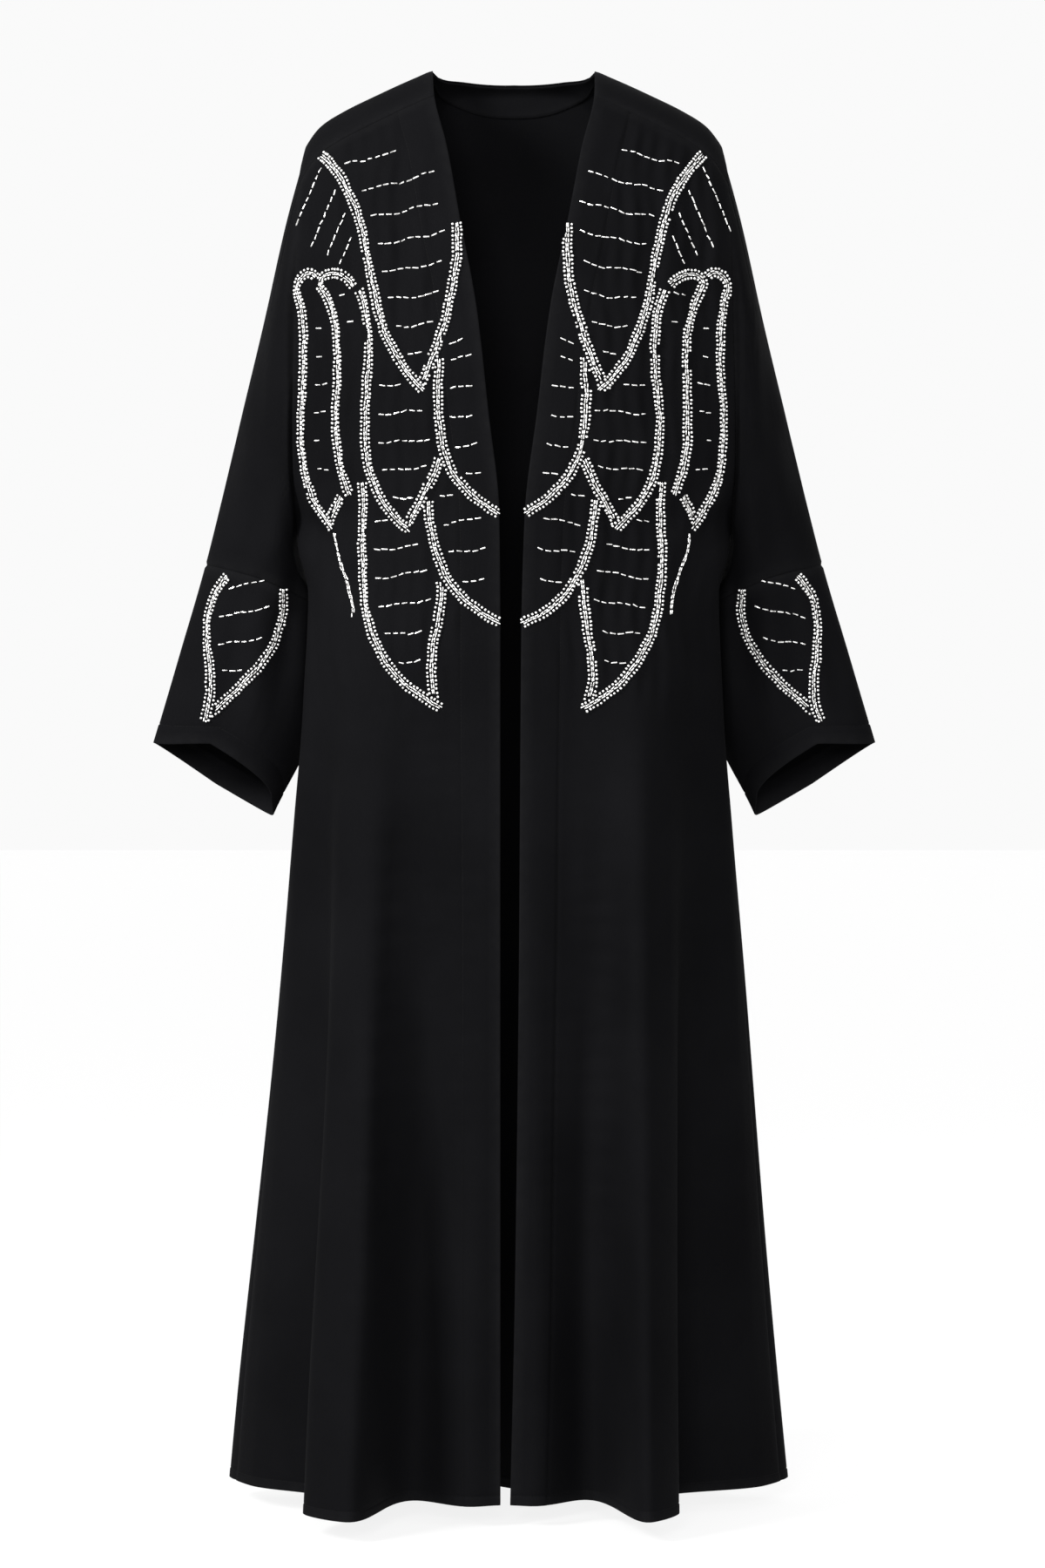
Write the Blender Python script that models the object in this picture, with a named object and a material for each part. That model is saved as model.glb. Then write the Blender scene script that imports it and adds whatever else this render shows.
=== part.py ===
"""Open-front kimono abaya, worn-shaped and hollow, in metres.

+X is the wearer's left, -Y the front and +Z up. The origin lies midway between the two neck points, where the
shoulders of a wearer carry the garment. The cloth is built as a maker would cut it: a back that runs over the
shoulders to a forward seam, two fronts, two set-in sleeves, two sleeve ends, an inner back neck facing, and the
raised bands of beading that edge the leaves on the fronts and the sleeve ends.
"""

import math
from collections import namedtuple

import bmesh
import bpy
import numpy as np
from mathutils import Vector
from mathutils.bvhtree import BVHTree

# Driving dimensions
WALL = 0.0015  # thickness of the cloth
SEAM_GAP = 0.0003  # clearance where two pieces meet
SHOULDER_GAP = 0.0008  # the same at the shoulder seams, where the columns of the two pieces differ
ARMHOLE_GAP = 0.0007  # the same at the armholes, which curve both ways
SHOULDER_RISE = 0.090  # height over which the body rounds into the shoulder
NECK_RISE = 0.018  # the same at the back of the neck, where the cloth stands up
NECK_REACH = (0.050, 0.135)  # half-widths between which one passes into the other
SHOULDER_HALF = 0.205  # half-width of the body where it meets the sleeve head
NECK_HALF = 0.0810  # half-width of the neck opening at the neck points
NECK_BACK_DEPTH = 0.060  # how far behind the neck points the back neckline runs
UNDERARM_Z = -0.454  # bottom of the armhole
FORWARD_SEAM = math.radians(52)  # how far the back wraps over the shoulder ridge
FACING_DEPTH = 0.036  # width of the back neck facing
FACING_WALL = 0.0010
FACING_CLEAR = 0.0005  # gap between the facing and the back
FACING_INSET = 0.0010  # distance of the facing's upper edge from the neckline
FACING_ROWS = 6
BEAD_BAND = 0.0105  # width of the beaded edge of a leaf
BEAD_RISE = 0.0022  # its height above the cloth
BAND_CLEAR = 0.0007  # gap under the band, so that it clears the facets of the cloth
# A band's section, as shares of its half-width and of its rise
BAND_PROFILE = ((-1.0, 0.0), (-0.62, 1.0), (0.62, 1.0), (1.0, 0.0))
BAND_FADE = 1.15  # a band ends this many widths short of the leaf that lies over it
MITRE_LIMIT = 0.45  # a band's corner widens by at most the inverse of this
FINE_STEP = 0.003  # spacing of the marks that a band keeps clear of
BAND_STEP = 0.011  # length of one stretch of a band
SIDE_NAMES = {-1: "right", 1: "left"}  # the wearer's sides

# Grid of the cloth: rows run from the hem up, columns across
LOWER_ROWS = 14
UPPER_ROWS = 8
FRONT_TOP_ROWS = 3
BACK_TOP_ROWS = 4
OVER_ROWS = 3
FRONT_COLUMNS = 22
BACK_COLUMNS = 17
NECK_COLUMNS = 5
SLEEVE_ROWS = 8
SLEEVE_END_ROWS = 4

# Cross-sections of the body. right and left are half-widths, front and back the depth at the centre, arm_front
# and arm_back the depth at the armhole or side seam, round the power of the curve between them.
Section = namedtuple("Section", "z right left front back arm_front arm_back round")
BODY = (
    Section(0.000, 0.2050, 0.2050, 0.078, 0.070, 0.046, 0.050, 1.6),
    Section(-0.070, 0.2070, 0.2070, 0.088, 0.088, 0.048, 0.054, 1.6),
    Section(-0.110, 0.2125, 0.2125, 0.098, 0.100, 0.052, 0.060, 1.6),
    Section(-0.200, 0.2155, 0.2155, 0.122, 0.110, 0.058, 0.066, 1.6),
    Section(-0.300, 0.2180, 0.2180, 0.130, 0.112, 0.057, 0.064, 1.5),
    Section(-0.380, 0.2195, 0.2195, 0.128, 0.108, 0.044, 0.050, 1.3),
    Section(-0.430, 0.2185, 0.2185, 0.127, 0.108, 0.024, 0.028, 1.1),
    Section(UNDERARM_Z, 0.2170, 0.2170, 0.127, 0.108, 0.000, 0.000, 1.0),
    Section(-0.482, 0.2125, 0.2125, 0.127, 0.110, 0.014, -0.014, 0.95),
    Section(-0.520, 0.2035, 0.2035, 0.128, 0.112, 0.024, -0.024, 0.9),
    Section(-0.640, 0.2090, 0.2080, 0.132, 0.122, 0.030, -0.030, 0.9),
    Section(-0.745, 0.2190, 0.2170, 0.136, 0.128, 0.020, -0.020, 0.9),
    Section(-0.885, 0.2320, 0.2290, 0.141, 0.134, 0.000, 0.000, 0.9),
    Section(-1.024, 0.2450, 0.2390, 0.146, 0.140, 0.000, 0.000, 0.9),
    Section(-1.163, 0.2590, 0.2490, 0.150, 0.145, 0.000, 0.000, 0.9),
    Section(-1.302, 0.2730, 0.2600, 0.154, 0.150, 0.000, 0.000, 0.9),
    Section(-1.440, 0.2850, 0.2720, 0.158, 0.154, 0.000, 0.000, 0.9),
)

# The front opening: distance of each front's edge from the middle, a V that runs into a narrow slit
Edge = namedtuple("Edge", "z right left")
OPENING = (
    Edge(0.000, 0.0810, 0.0810),
    Edge(-0.030, 0.0790, 0.0800),
    Edge(-0.090, 0.0650, 0.0665),
    Edge(-0.160, 0.0525, 0.0535),
    Edge(-0.255, 0.0352, 0.0348),
    Edge(-0.350, 0.0246, 0.0232),
    Edge(-0.449, 0.0140, 0.0112),
    Edge(-0.560, 0.0130, 0.0079),
    Edge(-0.900, 0.0130, 0.0055),
    Edge(-1.200, 0.0130, 0.0020),
    Edge(-1.440, 0.0131, -0.0031),
)

# The shoulder ridge, from the neck point out to the sleeve head
Ridge = namedtuple("Ridge", "x z")
SHOULDER = (
    Ridge(0.0000, 0.0060),
    Ridge(0.0450, 0.0045),
    Ridge(0.0810, 0.0000),
    Ridge(0.0960, -0.0060),
    Ridge(0.1350, -0.0235),
    Ridge(0.1710, -0.0410),
    Ridge(0.1920, -0.0545),
    Ridge(0.2070, -0.0740),
    Ridge(0.2300, -0.1300),
)

# The hem seen from above, from the front edge round to the centre back: where each ridge and hollow of a fold
# lies. The fold starts at the height top and widens evenly down to the hem.
Fold = namedtuple("Fold", "side face x y top")
FOLDS = (
    Fold(-1, "front", -0.0131, -0.090, -0.700),
    Fold(-1, "front", -0.0408, -0.098, -0.700),
    Fold(-1, "front", -0.0953, -0.065, -0.600),
    Fold(-1, "front", -0.1610, -0.180, -0.480),
    Fold(-1, "front", -0.2009, -0.142, -0.470),
    Fold(-1, "front", -0.1850, -0.046, -0.470),
    Fold(-1, "front", -0.2640, 0.020, -0.600),
    Fold(-1, "back", -0.2880, 0.085, -0.700),
    Fold(-1, "back", -0.2180, 0.098, -0.640),
    Fold(-1, "back", -0.1650, 0.180, -0.560),
    Fold(-1, "back", -0.1080, 0.108, -0.480),
    Fold(-1, "back", -0.0500, 0.162, -0.420),
    Fold(1, "back", 0.0120, 0.118, -0.400),
    Fold(1, "back", 0.0720, 0.172, -0.440),
    Fold(1, "back", 0.1320, 0.104, -0.480),
    Fold(1, "back", 0.1900, 0.162, -0.580),
    Fold(1, "back", 0.2280, 0.096, -0.640),
    Fold(1, "back", 0.2770, 0.080, -0.700),
    Fold(1, "front", 0.2520, 0.020, -0.600),
    Fold(1, "front", 0.1440, -0.046, -0.480),
    Fold(1, "front", 0.1576, -0.142, -0.500),
    Fold(1, "front", 0.1331, -0.180, -0.500),
    Fold(1, "front", 0.0686, -0.060, -0.600),
    Fold(1, "front", 0.0185, -0.095, -0.700),
    Fold(1, "front", -0.0031, -0.090, -0.700),
)
FOLD_EASE = 1.15  # above 1, a fold opens slowly at its top
CENTRE_BACK_HEM = np.array([0.0, 0.140])
HEM_FRONT = -1.415
HEM_BACK = -1.436

# Sections of a sleeve from the armhole to the cuff: the outer and inner point of each, its depth in front
# and behind, and how far its front and back edges are lifted
Cuff = namedtuple("Cuff", "outer_x outer_z inner_x inner_z y front back front_lift back_lift")
SLEEVE = (
    Cuff(0.2070, -0.0740, 0.2170, -0.4540, 0.000, 0.058, 0.066, 0.000, 0.000),
    Cuff(0.2265, -0.1450, 0.2172, -0.4630, 0.004, 0.063, 0.070, 0.000, 0.000),
    Cuff(0.2480, -0.2380, 0.2140, -0.4780, 0.013, 0.064, 0.070, 0.000, 0.000),
    Cuff(0.2780, -0.3600, 0.2082, -0.5000, 0.027, 0.062, 0.066, 0.000, 0.000),
    Cuff(0.3110, -0.4900, 0.1990, -0.5340, 0.042, 0.054, 0.058, 0.006, 0.000),
    Cuff(0.3380, -0.5800, 0.2000, -0.6380, 0.046, 0.046, 0.048, 0.016, 0.000),
    Cuff(0.3640, -0.6690, 0.2430, -0.7400, 0.040, 0.036, 0.036, 0.034, -0.006),
)
LIFT_POWER = 0.4  # the lower, the longer the lifted part of the cuff's edge
ARMHOLE_FADE = 2.5  # the section by which the sleeve has left the armhole's own curve
SLEEVE_SEAM_AT = 4  # the section where the sleeve end is sewn on

# Leaves worked in beads on each front, the uppermost layer first, as distances from the middle of the body
# and heights. Each edge runs from its top (x, z) to the tip; upper and lower are how far it bows away from
# the middle at one and two thirds of its length. An arch may lead over to the top from arch_x, arch_z. A
# leaf at the opening has no inner edge.
Leaf = namedtuple(
    "Leaf", "name tip_x tip_z x z upper lower inner_x inner_z inner_upper inner_lower arch_x arch_z"
)
NO_EDGE = (None, None, None, None)
NO_ARCH = (None, None)
LEAVES = (
    Leaf("shoulder", 0.089, -0.326, 0.188, -0.091, -0.008, 0.008, 0.054, -0.166, -0.010, -0.009, *NO_ARCH),
    Leaf("breast", 0.018, -0.446, 0.071, -0.290, 0.019, 0.026, *NO_EDGE, *NO_ARCH),
    Leaf("middle", 0.103, -0.461, 0.149, -0.230, 0.006, 0.024, 0.068, -0.390, -0.002, -0.002, *NO_ARCH),
    Leaf("inner_arm", 0.160, -0.424, 0.188, -0.222, -0.009, 0.002, *NO_EDGE, 0.153, -0.232),
    Leaf("outer_arm", 0.179, -0.456, 0.211, -0.226, 0.004, 0.017, 0.167, -0.430, 0.000, 0.000, 0.190, -0.222),
    Leaf("opening", 0.018, -0.552, 0.083, -0.420, 0.017, 0.021, *NO_EDGE, *NO_ARCH),
    Leaf("lowest", 0.072, -0.636, 0.145, -0.417, 0.026, 0.037, 0.070, -0.499, 0.000, 0.006, *NO_ARCH),
    Leaf("side", 0.155, -0.542, 0.162, -0.434, 0.013, 0.006, *NO_EDGE, *NO_ARCH),
)
CUFF_LEAF = Leaf("cuff", 0.306, -0.643, 0.284, -0.504, 0.014, 0.004, 0.230, -0.511, -0.022, -0.017, *NO_ARCH)
ARCH_RISE = 0.014  # height of an arch between two leaves
THIRDS_SCALE = 13.5  # makes a cubic reach its stated bows at the thirds
LEAF_MIDDLE = -0.0015  # the leaves on the two sides mirror about this line

# Colours: black crepe, and silver beads
CREPE = ("crepe", (0.012, 0.012, 0.014, 1.0), 0.78, 0.0)
FACING_CREPE = ("facing_crepe", (0.010, 0.010, 0.012, 1.0), 0.82, 0.0)
BEADS = ("silver_beads", (0.74, 0.73, 0.71, 1.0), 0.28, 0.85)


def material(name, colour, roughness, metallic):
    """A plain material, made once."""
    made = bpy.data.materials.get(name)
    if made is None:
        made = bpy.data.materials.new(name)
        made.use_nodes = True
        shader = made.node_tree.nodes["Principled BSDF"]
        shader.inputs["Base Color"].default_value = colour
        shader.inputs["Roughness"].default_value = roughness
        shader.inputs["Metallic"].default_value = metallic
        made.diffuse_color = colour
    return made


def along(table, key, column, at):
    """A table's column read at any place on a smooth curve through its rows."""
    rows = sorted(table, key=lambda row: getattr(row, key))
    x = np.array([getattr(row, key) for row in rows])
    y = np.array([getattr(row, column) for row in rows])
    return smooth_curve(x, y, at)


def smooth_curve(x, y, at):
    """Cubic curve through the points (x, y) that doesn't swing past them."""
    slope = np.diff(y) / np.diff(x)
    tangent = np.empty_like(y)
    tangent[0], tangent[-1] = slope[0], slope[-1]
    same_way = slope[:-1] * slope[1:] > 0
    both = slope[:-1] + slope[1:]
    harmonic = 2 * slope[:-1] * slope[1:] / np.where(same_way, both, 1.0)
    tangent[1:-1] = np.where(same_way, harmonic, 0.0)
    at = np.clip(at, x[0], x[-1])
    i = np.clip(np.searchsorted(x, at, side="right") - 1, 0, len(x) - 2)
    span = x[i + 1] - x[i]
    t = (at - x[i]) / span
    rise = y[i + 1] - y[i]
    a = tangent[i] * span
    b = tangent[i + 1] * span
    return y[i] + t * (a + t * (3 * rise - 2 * a - b + t * (a + b - 2 * rise)))


def ease(value, start, end):
    """0 at start, 1 at end, with a smooth step between."""
    t = np.clip((value - start) / (end - start), 0.0, 1.0)
    return t * t * (3 - 2 * t)


def ridge_height(x):
    """Height of the shoulder ridge at a distance from the middle."""
    return along(SHOULDER, "x", "z", np.abs(x))


def plain_body(side, face, theta, z, alpha=None):
    """A point of the body before its folds: theta is 0 at the centre and a right angle at the side. alpha,
    where it is given, is the turn about the shoulder ridge."""
    half = along(BODY, "z", SIDE_NAMES[side], z)
    depth = along(BODY, "z", face, z)
    arm = along(BODY, "z", "arm_" + face, z)
    power = along(BODY, "z", "round", z)
    x = half * np.sin(theta)
    y = arm + (depth - arm) * np.maximum(np.cos(theta), 0.0) ** power
    if alpha is None:
        drop = np.clip((ridge_height(x) - z) / shoulder_rise(face, x), 0.0, 1.0)
        y = y * np.sqrt(1 - (1 - drop) ** 2)
    else:
        y = y * np.sin(alpha)
    return np.stack([side * x, y if face == "back" else -y, z], axis=-1)


def shoulder_rise(face, x):
    """Height over which the body rounds into the ridge at a distance from the middle."""
    if face == "front":
        return np.full_like(x, SHOULDER_RISE)
    return NECK_RISE + (SHOULDER_RISE - NECK_RISE) * ease(np.abs(x), *NECK_REACH)


def spread(side, face, share, z):
    """The angle of a column that lies at a share of the way from a panel's centre edge to its side seam."""
    if face == "back":
        return share * math.pi / 2
    half = along(BODY, "z", SIDE_NAMES[side], z)
    inner = np.arcsin(np.clip(along(OPENING, "z", SIDE_NAMES[side], z) / half, -1.0, 1.0))
    return inner + share * (math.pi / 2 - inner)


def hem_height(side, face, share):
    """Height of the hem: level in front, a little lower at the centre back."""
    if face == "front":
        return np.full_like(share, HEM_FRONT)
    return HEM_BACK + (HEM_FRONT - HEM_BACK) * ease(share, 0.15, 1.0)


def ring_of(face, side, share):
    """One measure round the whole body: 0 at the centre back, 1 at a side seam and 2 at a front's edge."""
    return side * (share if face == "back" else 2 - share)


def fold_places():
    """Where each fold point lies in the ring measure, by its share of its panel's length along the hem."""
    places = []
    for side in (-1, 1):
        rows = [row for row in FOLDS if row.side == side]
        rows.sort(key=lambda row: FOLDS.index(row) * -side)
        front = [row for row in rows if row.face == "front"]
        back = [row for row in rows if row.face == "back"]
        seam = np.array([(front[-1].x + back[0].x) / 2, (front[-1].y + back[0].y) / 2])
        for group, ends in ((front, (None, seam)), (back, (seam, CENTRE_BACK_HEM))):
            points = [np.array([row.x, row.y]) for row in group]
            path = [p for p in (ends[0], *points, ends[1]) if p is not None]
            run = np.concatenate([[0.0], np.cumsum([np.linalg.norm(b - a) for a, b in zip(path, path[1:])])])
            run = run / run[-1]
            run = run[:-1] if ends[0] is None else run[1:-1]
            base = 2.0 if group is front else 1.0
            places += [(side * (base - r), row) for r, row in zip(run, group)]
    places.sort(key=lambda pair: pair[0])
    return [p for p, _ in places], [row for _, row in places]


def fold_shift(ring, z):
    """How far the folds carry points at ring places and heights, in x and y."""
    places, rows = fold_places()
    places = np.array(places)
    pull = np.empty((len(rows), 2))
    for i, (place, row) in enumerate(zip(places, rows)):
        share = abs(place) if row.face == "back" else 2 - abs(place)
        height = hem_height(row.side, row.face, np.array(share))
        angle = spread(row.side, row.face, np.array(share), height)
        pull[i] = np.array([row.x, row.y]) - plain_body(row.side, row.face, angle, height)[:2]
    tops = np.array([row.top for row in rows])
    grown = np.clip((tops - z[..., None]) / (tops - HEM_FRONT), 0.0, 1.1) ** FOLD_EASE
    pulls = grown[..., None] * pull
    step = np.diff(places)
    rise = np.diff(pulls, axis=-2) / step[:, None]
    tangent = np.zeros_like(pulls)
    ahead = step[:-1] / (step[:-1] + step[1:])
    tangent[..., 1:-1, :] = rise[..., :-1, :] * (1 - ahead)[:, None] + rise[..., 1:, :] * ahead[:, None]
    ring = np.clip(ring, places[0], places[-1])
    i = np.clip(np.searchsorted(places, ring, side="right") - 1, 0, len(places) - 2)
    t = ((ring - places[i]) / step[i])[..., None]

    def pick(values, at):
        return np.take_along_axis(values, at[..., None, None], axis=-2)[..., 0, :]

    start, end = pick(pulls, i), pick(pulls, i + 1)
    out, into = pick(tangent, i) * step[i][..., None], pick(tangent, i + 1) * step[i][..., None]
    return start + t * (out + t * (3 * (end - start) - 2 * out - into + t * (out + into - 2 * (end - start))))


def body(side, face, share, z):
    """A point of the body with its folds."""
    share, z = np.broadcast_arrays(np.asarray(share, float), np.asarray(z, float))
    point = plain_body(side, face, spread(side, face, share, z), z)
    point[..., :2] += fold_shift(ring_of(face, side, share), z)
    return point


def body_rows(side, face, share):
    """Rows of points from the hem to the shoulder, for columns at a share of the way from the panel's centre
    edge to its side. Returns rows x columns x 3."""
    share = np.asarray(share, float)
    hem = hem_height(side, face, share)
    rows = []
    for k in range(LOWER_ROWS + 1):
        rows.append(body(side, face, share, hem + (UNDERARM_Z - hem) * k / LOWER_ROWS))
    start = np.full_like(share, UNDERARM_Z)
    top = start
    for _ in range(6):
        x = body(side, face, share, top)[..., 0]
        top = ridge_height(x) - shoulder_rise(face, x)
    for k in range(1, UPPER_ROWS + 1):
        rows.append(body(side, face, share, start + (top - start) * k / UPPER_ROWS))
    count = BACK_TOP_ROWS if face == "back" else FRONT_TOP_ROWS
    last = neckline_angle(share * math.pi / 2) if face == "back" else np.full_like(share, FORWARD_SEAM)
    for k in range(1, count + 1):
        turn = math.pi / 2 + (last - math.pi / 2) * k / count
        rows.append(shoulder_row(side, face, share, turn, top))
    if face == "back":
        over = front_share(share)
        for k in range(1, OVER_ROWS + 1):
            turn = np.full_like(share, FORWARD_SEAM * k / OVER_ROWS)
            rows.append(shoulder_row(side, "front", over, turn, top))
    return np.array(rows)


def front_share(share):
    """Shares of a front's columns for the back's columns that meet them at the shoulder seam. Those across the
    neck have none, and are set to the neck point."""
    neck = neck_share()
    return np.clip((share - neck) / (1 - neck), 0.0, 1.0)


def neck_share():
    """Share of the back's half-width at which the neck point lies."""
    return math.asin(NECK_HALF / SHOULDER_HALF) / (math.pi / 2)


def shoulder_row(side, face, share, alpha, z):
    """One row on the rounded shoulder, at the turn alpha about the ridge."""
    for _ in range(8):
        x = plain_body(side, face, spread(side, face, share, z), z, alpha)[..., 0]
        z = ridge_height(x) - shoulder_rise(face, x) * (1 - np.cos(alpha))
    return plain_body(side, face, spread(side, face, share, z), z, alpha)


def neckline_angle(theta):
    """How near the ridge the back reaches: right up to it outside the neck, and short of it across the neck."""
    neck = math.asin(NECK_HALF / SHOULDER_HALF)
    across = np.clip(theta / neck, 0.0, 1.0)
    lowest = math.asin(NECK_BACK_DEPTH / BODY[0].back)
    return lowest * np.sqrt(np.clip(1 - across**2, 0.0, 1.0))


def normals_of(grid, outward, closed=False):
    """Unit normals of a grid of points, turned away from the points outward names as inside."""
    if closed:
        across = np.roll(grid, -1, axis=1) - np.roll(grid, 1, axis=1)
    else:
        across = np.gradient(grid, axis=1)
    up = np.gradient(grid, axis=0)
    normal = np.cross(across, up)
    normal /= np.maximum(np.linalg.norm(normal, axis=-1, keepdims=True), 1e-12)
    facing = np.sign(((grid - outward) * normal).sum(axis=-1).mean())
    return normal * (facing or 1.0)


def unit(vectors):
    """The vectors at unit length."""
    return vectors / np.maximum(np.linalg.norm(vectors, axis=-1, keepdims=True), 1e-12)


def pulled(edge, neighbour, distance=SEAM_GAP):
    """The points of an edge drawn back towards their neighbours, which leaves the seam's clearance."""
    return edge + unit(neighbour - edge) * distance


def shell(name, outer, normals, wall, finish, keep=None, closed=False):
    """One closed wall of cloth from a grid of outer points. keep marks the cells that are cloth."""
    rows, columns = outer.shape[:2]
    cells_across = columns if closed else columns - 1
    if keep is None:
        keep = np.ones((rows - 1, cells_across), bool)
    inner = outer - normals * wall
    points = np.concatenate([outer.reshape(-1, 3), inner.reshape(-1, 3)])
    below = rows * columns
    faces = []
    borders = {}
    for i in range(rows - 1):
        for j in range(cells_across):
            if not keep[i, j]:
                continue
            j2 = (j + 1) % columns
            cell = (i * columns + j, i * columns + j2, (i + 1) * columns + j2, (i + 1) * columns + j)
            faces.append(cell)
            faces.append(tuple(k + below for k in reversed(cell)))
            for a, b in zip(cell, cell[1:] + cell[:1]):
                if borders.pop((b, a), None) is None:
                    borders[(a, b)] = True
    faces += [(b, a, a + below, b + below) for a, b in borders]
    return solid(name, points, faces, finish)


def solid(name, points, faces, finish):
    """An object from points and faces, with loose points dropped and its faces turned outwards."""
    mesh = bpy.data.meshes.new(name)
    mesh.from_pydata([tuple(p) for p in points], [], faces)
    work = bmesh.new()
    work.from_mesh(mesh)
    bmesh.ops.delete(work, geom=[v for v in work.verts if not v.link_faces], context="VERTS")
    bmesh.ops.recalc_face_normals(work, faces=work.faces)
    work.to_mesh(mesh)
    work.free()
    mesh.materials.append(material(*finish))
    mesh.shade_smooth()
    mesh.set_sharp_from_angle(angle=math.radians(40))
    made = bpy.data.objects.new(name, mesh)
    bpy.context.scene.collection.objects.link(made)
    return made


def back_columns():
    """Shares of the back's columns on one side, with one at the neck point."""
    neck = neck_share()
    inside = np.linspace(0.0, neck, NECK_COLUMNS)
    outside = neck + (1 - neck) * np.linspace(0.0, 1.0, BACK_COLUMNS)
    return np.concatenate([inside[:-1], outside])


def sleeve_rings(side, loop, first, last, count):
    """Rings of a sleeve between two of its sections, each with the points of the armhole loop carried along.
    loop holds the armhole's points from the shoulder down the front and up the back."""
    sections = np.arange(len(SLEEVE), dtype=float)

    def column(name, at):
        return smooth_curve(sections, np.array([getattr(row, name) for row in SLEEVE]), at)

    def ring(at):
        outer = np.array([column("outer_x", at), column("outer_z", at)])
        inner = np.array([column("inner_x", at), column("inner_z", at)])
        middle = (outer + inner) / 2
        arm = (outer - inner) / 2
        turn = loop_angles(loop)
        front = np.sin(turn) > 0
        depth = np.where(front, column("front", at), column("back", at)) * -np.sin(turn)
        rise = np.clip(1 - np.cos(turn), 0.0, 1.0) * np.abs(np.sin(turn)) ** LIFT_POWER
        lift = np.where(front, column("front_lift", at), column("back_lift", at)) * rise
        x = middle[0] + arm[0] * np.cos(turn)
        z = middle[1] + arm[1] * np.cos(turn) + lift
        return np.stack([side * x, depth + column("y", at), z], axis=-1)

    start = loop - ring(0.0)
    rings = []
    for at in np.linspace(first, last, count):
        fade = 1 - ease(at, 0.0, ARMHOLE_FADE)
        rings.append(ring(at) + start * fade)
    return np.array(rings)


def loop_angles(loop):
    """Where each point of the armhole loop lies round it: 0 at the shoulder, a half turn at the underarm."""
    top, bottom = loop[:, 2].max(), UNDERARM_Z
    height = np.clip((loop[:, 2] - bottom) / (top - bottom), 0.0, 1.0)
    angle = np.arccos(np.clip(2 * height - 1, -1.0, 1.0))
    return np.where(loop[:, 1] < 0, angle, 2 * math.pi - angle)


def bowed(start, end, upper, lower, spacing):
    """Points of a line from start to end that bows aside by upper and lower at its thirds."""
    start, end = np.array(start), np.array(end)
    chord = end - start
    length = np.linalg.norm(chord)
    aside = np.array((-chord[1], chord[0])) / length
    t = np.linspace(0.0, 1.0, max(3, round(length / spacing) + 1))
    bow = THIRDS_SCALE * t * (1 - t) * (upper * (2 / 3 - t) + lower * (t - 1 / 3))
    return start + chord * t[:, None] + aside * bow[:, None]


def arch(start, end, spacing):
    """Points of an arch from start over to end."""
    start, end = np.array(start), np.array(end)
    turn = np.linspace(0.0, math.pi, max(5, round(np.linalg.norm(end - start) * 1.7 / spacing) + 1))
    level = start + (end - start) * (1 - np.cos(turn))[:, None] / 2
    return level + np.array((0.0, ARCH_RISE)) * np.sin(turn)[:, None]


def leaf_outline(leaf, spacing=BAND_STEP):
    """The band of a leaf as one path: over its arch, down its outer edge to the tip, and up its inner edge."""
    top, tip = (leaf.x, leaf.z), (leaf.tip_x, leaf.tip_z)
    path = bowed(top, tip, leaf.upper, leaf.lower, spacing)
    if leaf.arch_x is not None:
        path = np.concatenate([arch((leaf.arch_x, leaf.arch_z), top, spacing)[:-1], path])
    if leaf.inner_x is not None:
        inner = bowed((leaf.inner_x, leaf.inner_z), tip, leaf.inner_upper, leaf.inner_lower, spacing)
        path = np.concatenate([path, inner[-2::-1]])
    return path


def clear_of(path, others, distance):
    """The longest stretch of a path that keeps its distance from other paths."""
    if not others:
        return path
    marks = np.concatenate(others)
    far = np.linalg.norm(path[:, None] - marks[None], axis=-1).min(axis=1) > distance
    best, run = (0, 0), 0
    for i, free in enumerate(far):
        run = run + 1 if free else 0
        if run > best[1] - best[0]:
            best = (i - run + 1, i + 1)
    return path[best[0] : best[1]]


def surface_finder(grid, closed=False):
    """A function that gives the point and normal of a panel in front of a place seen from the front."""
    rows, columns = grid.shape[:2]
    cells = columns if closed else columns - 1
    triangles = []
    for i in range(rows - 1):
        for j in range(cells):
            j2 = (j + 1) % columns
            a, b, c, d = i * columns + j, i * columns + j2, (i + 1) * columns + j2, (i + 1) * columns + j
            triangles += [(a, b, c), (a, c, d)]
    tree = BVHTree.FromPolygons([tuple(p) for p in grid.reshape(-1, 3)], triangles)

    def find(x, z):
        place, normal, _, _ = tree.ray_cast(Vector((x, -1.0, z)), Vector((0.0, 1.0, 0.0)))
        if place is None:
            return None
        normal = normal if normal.y < 0 else -normal
        return tuple(place), tuple(normal)

    return find


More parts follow.
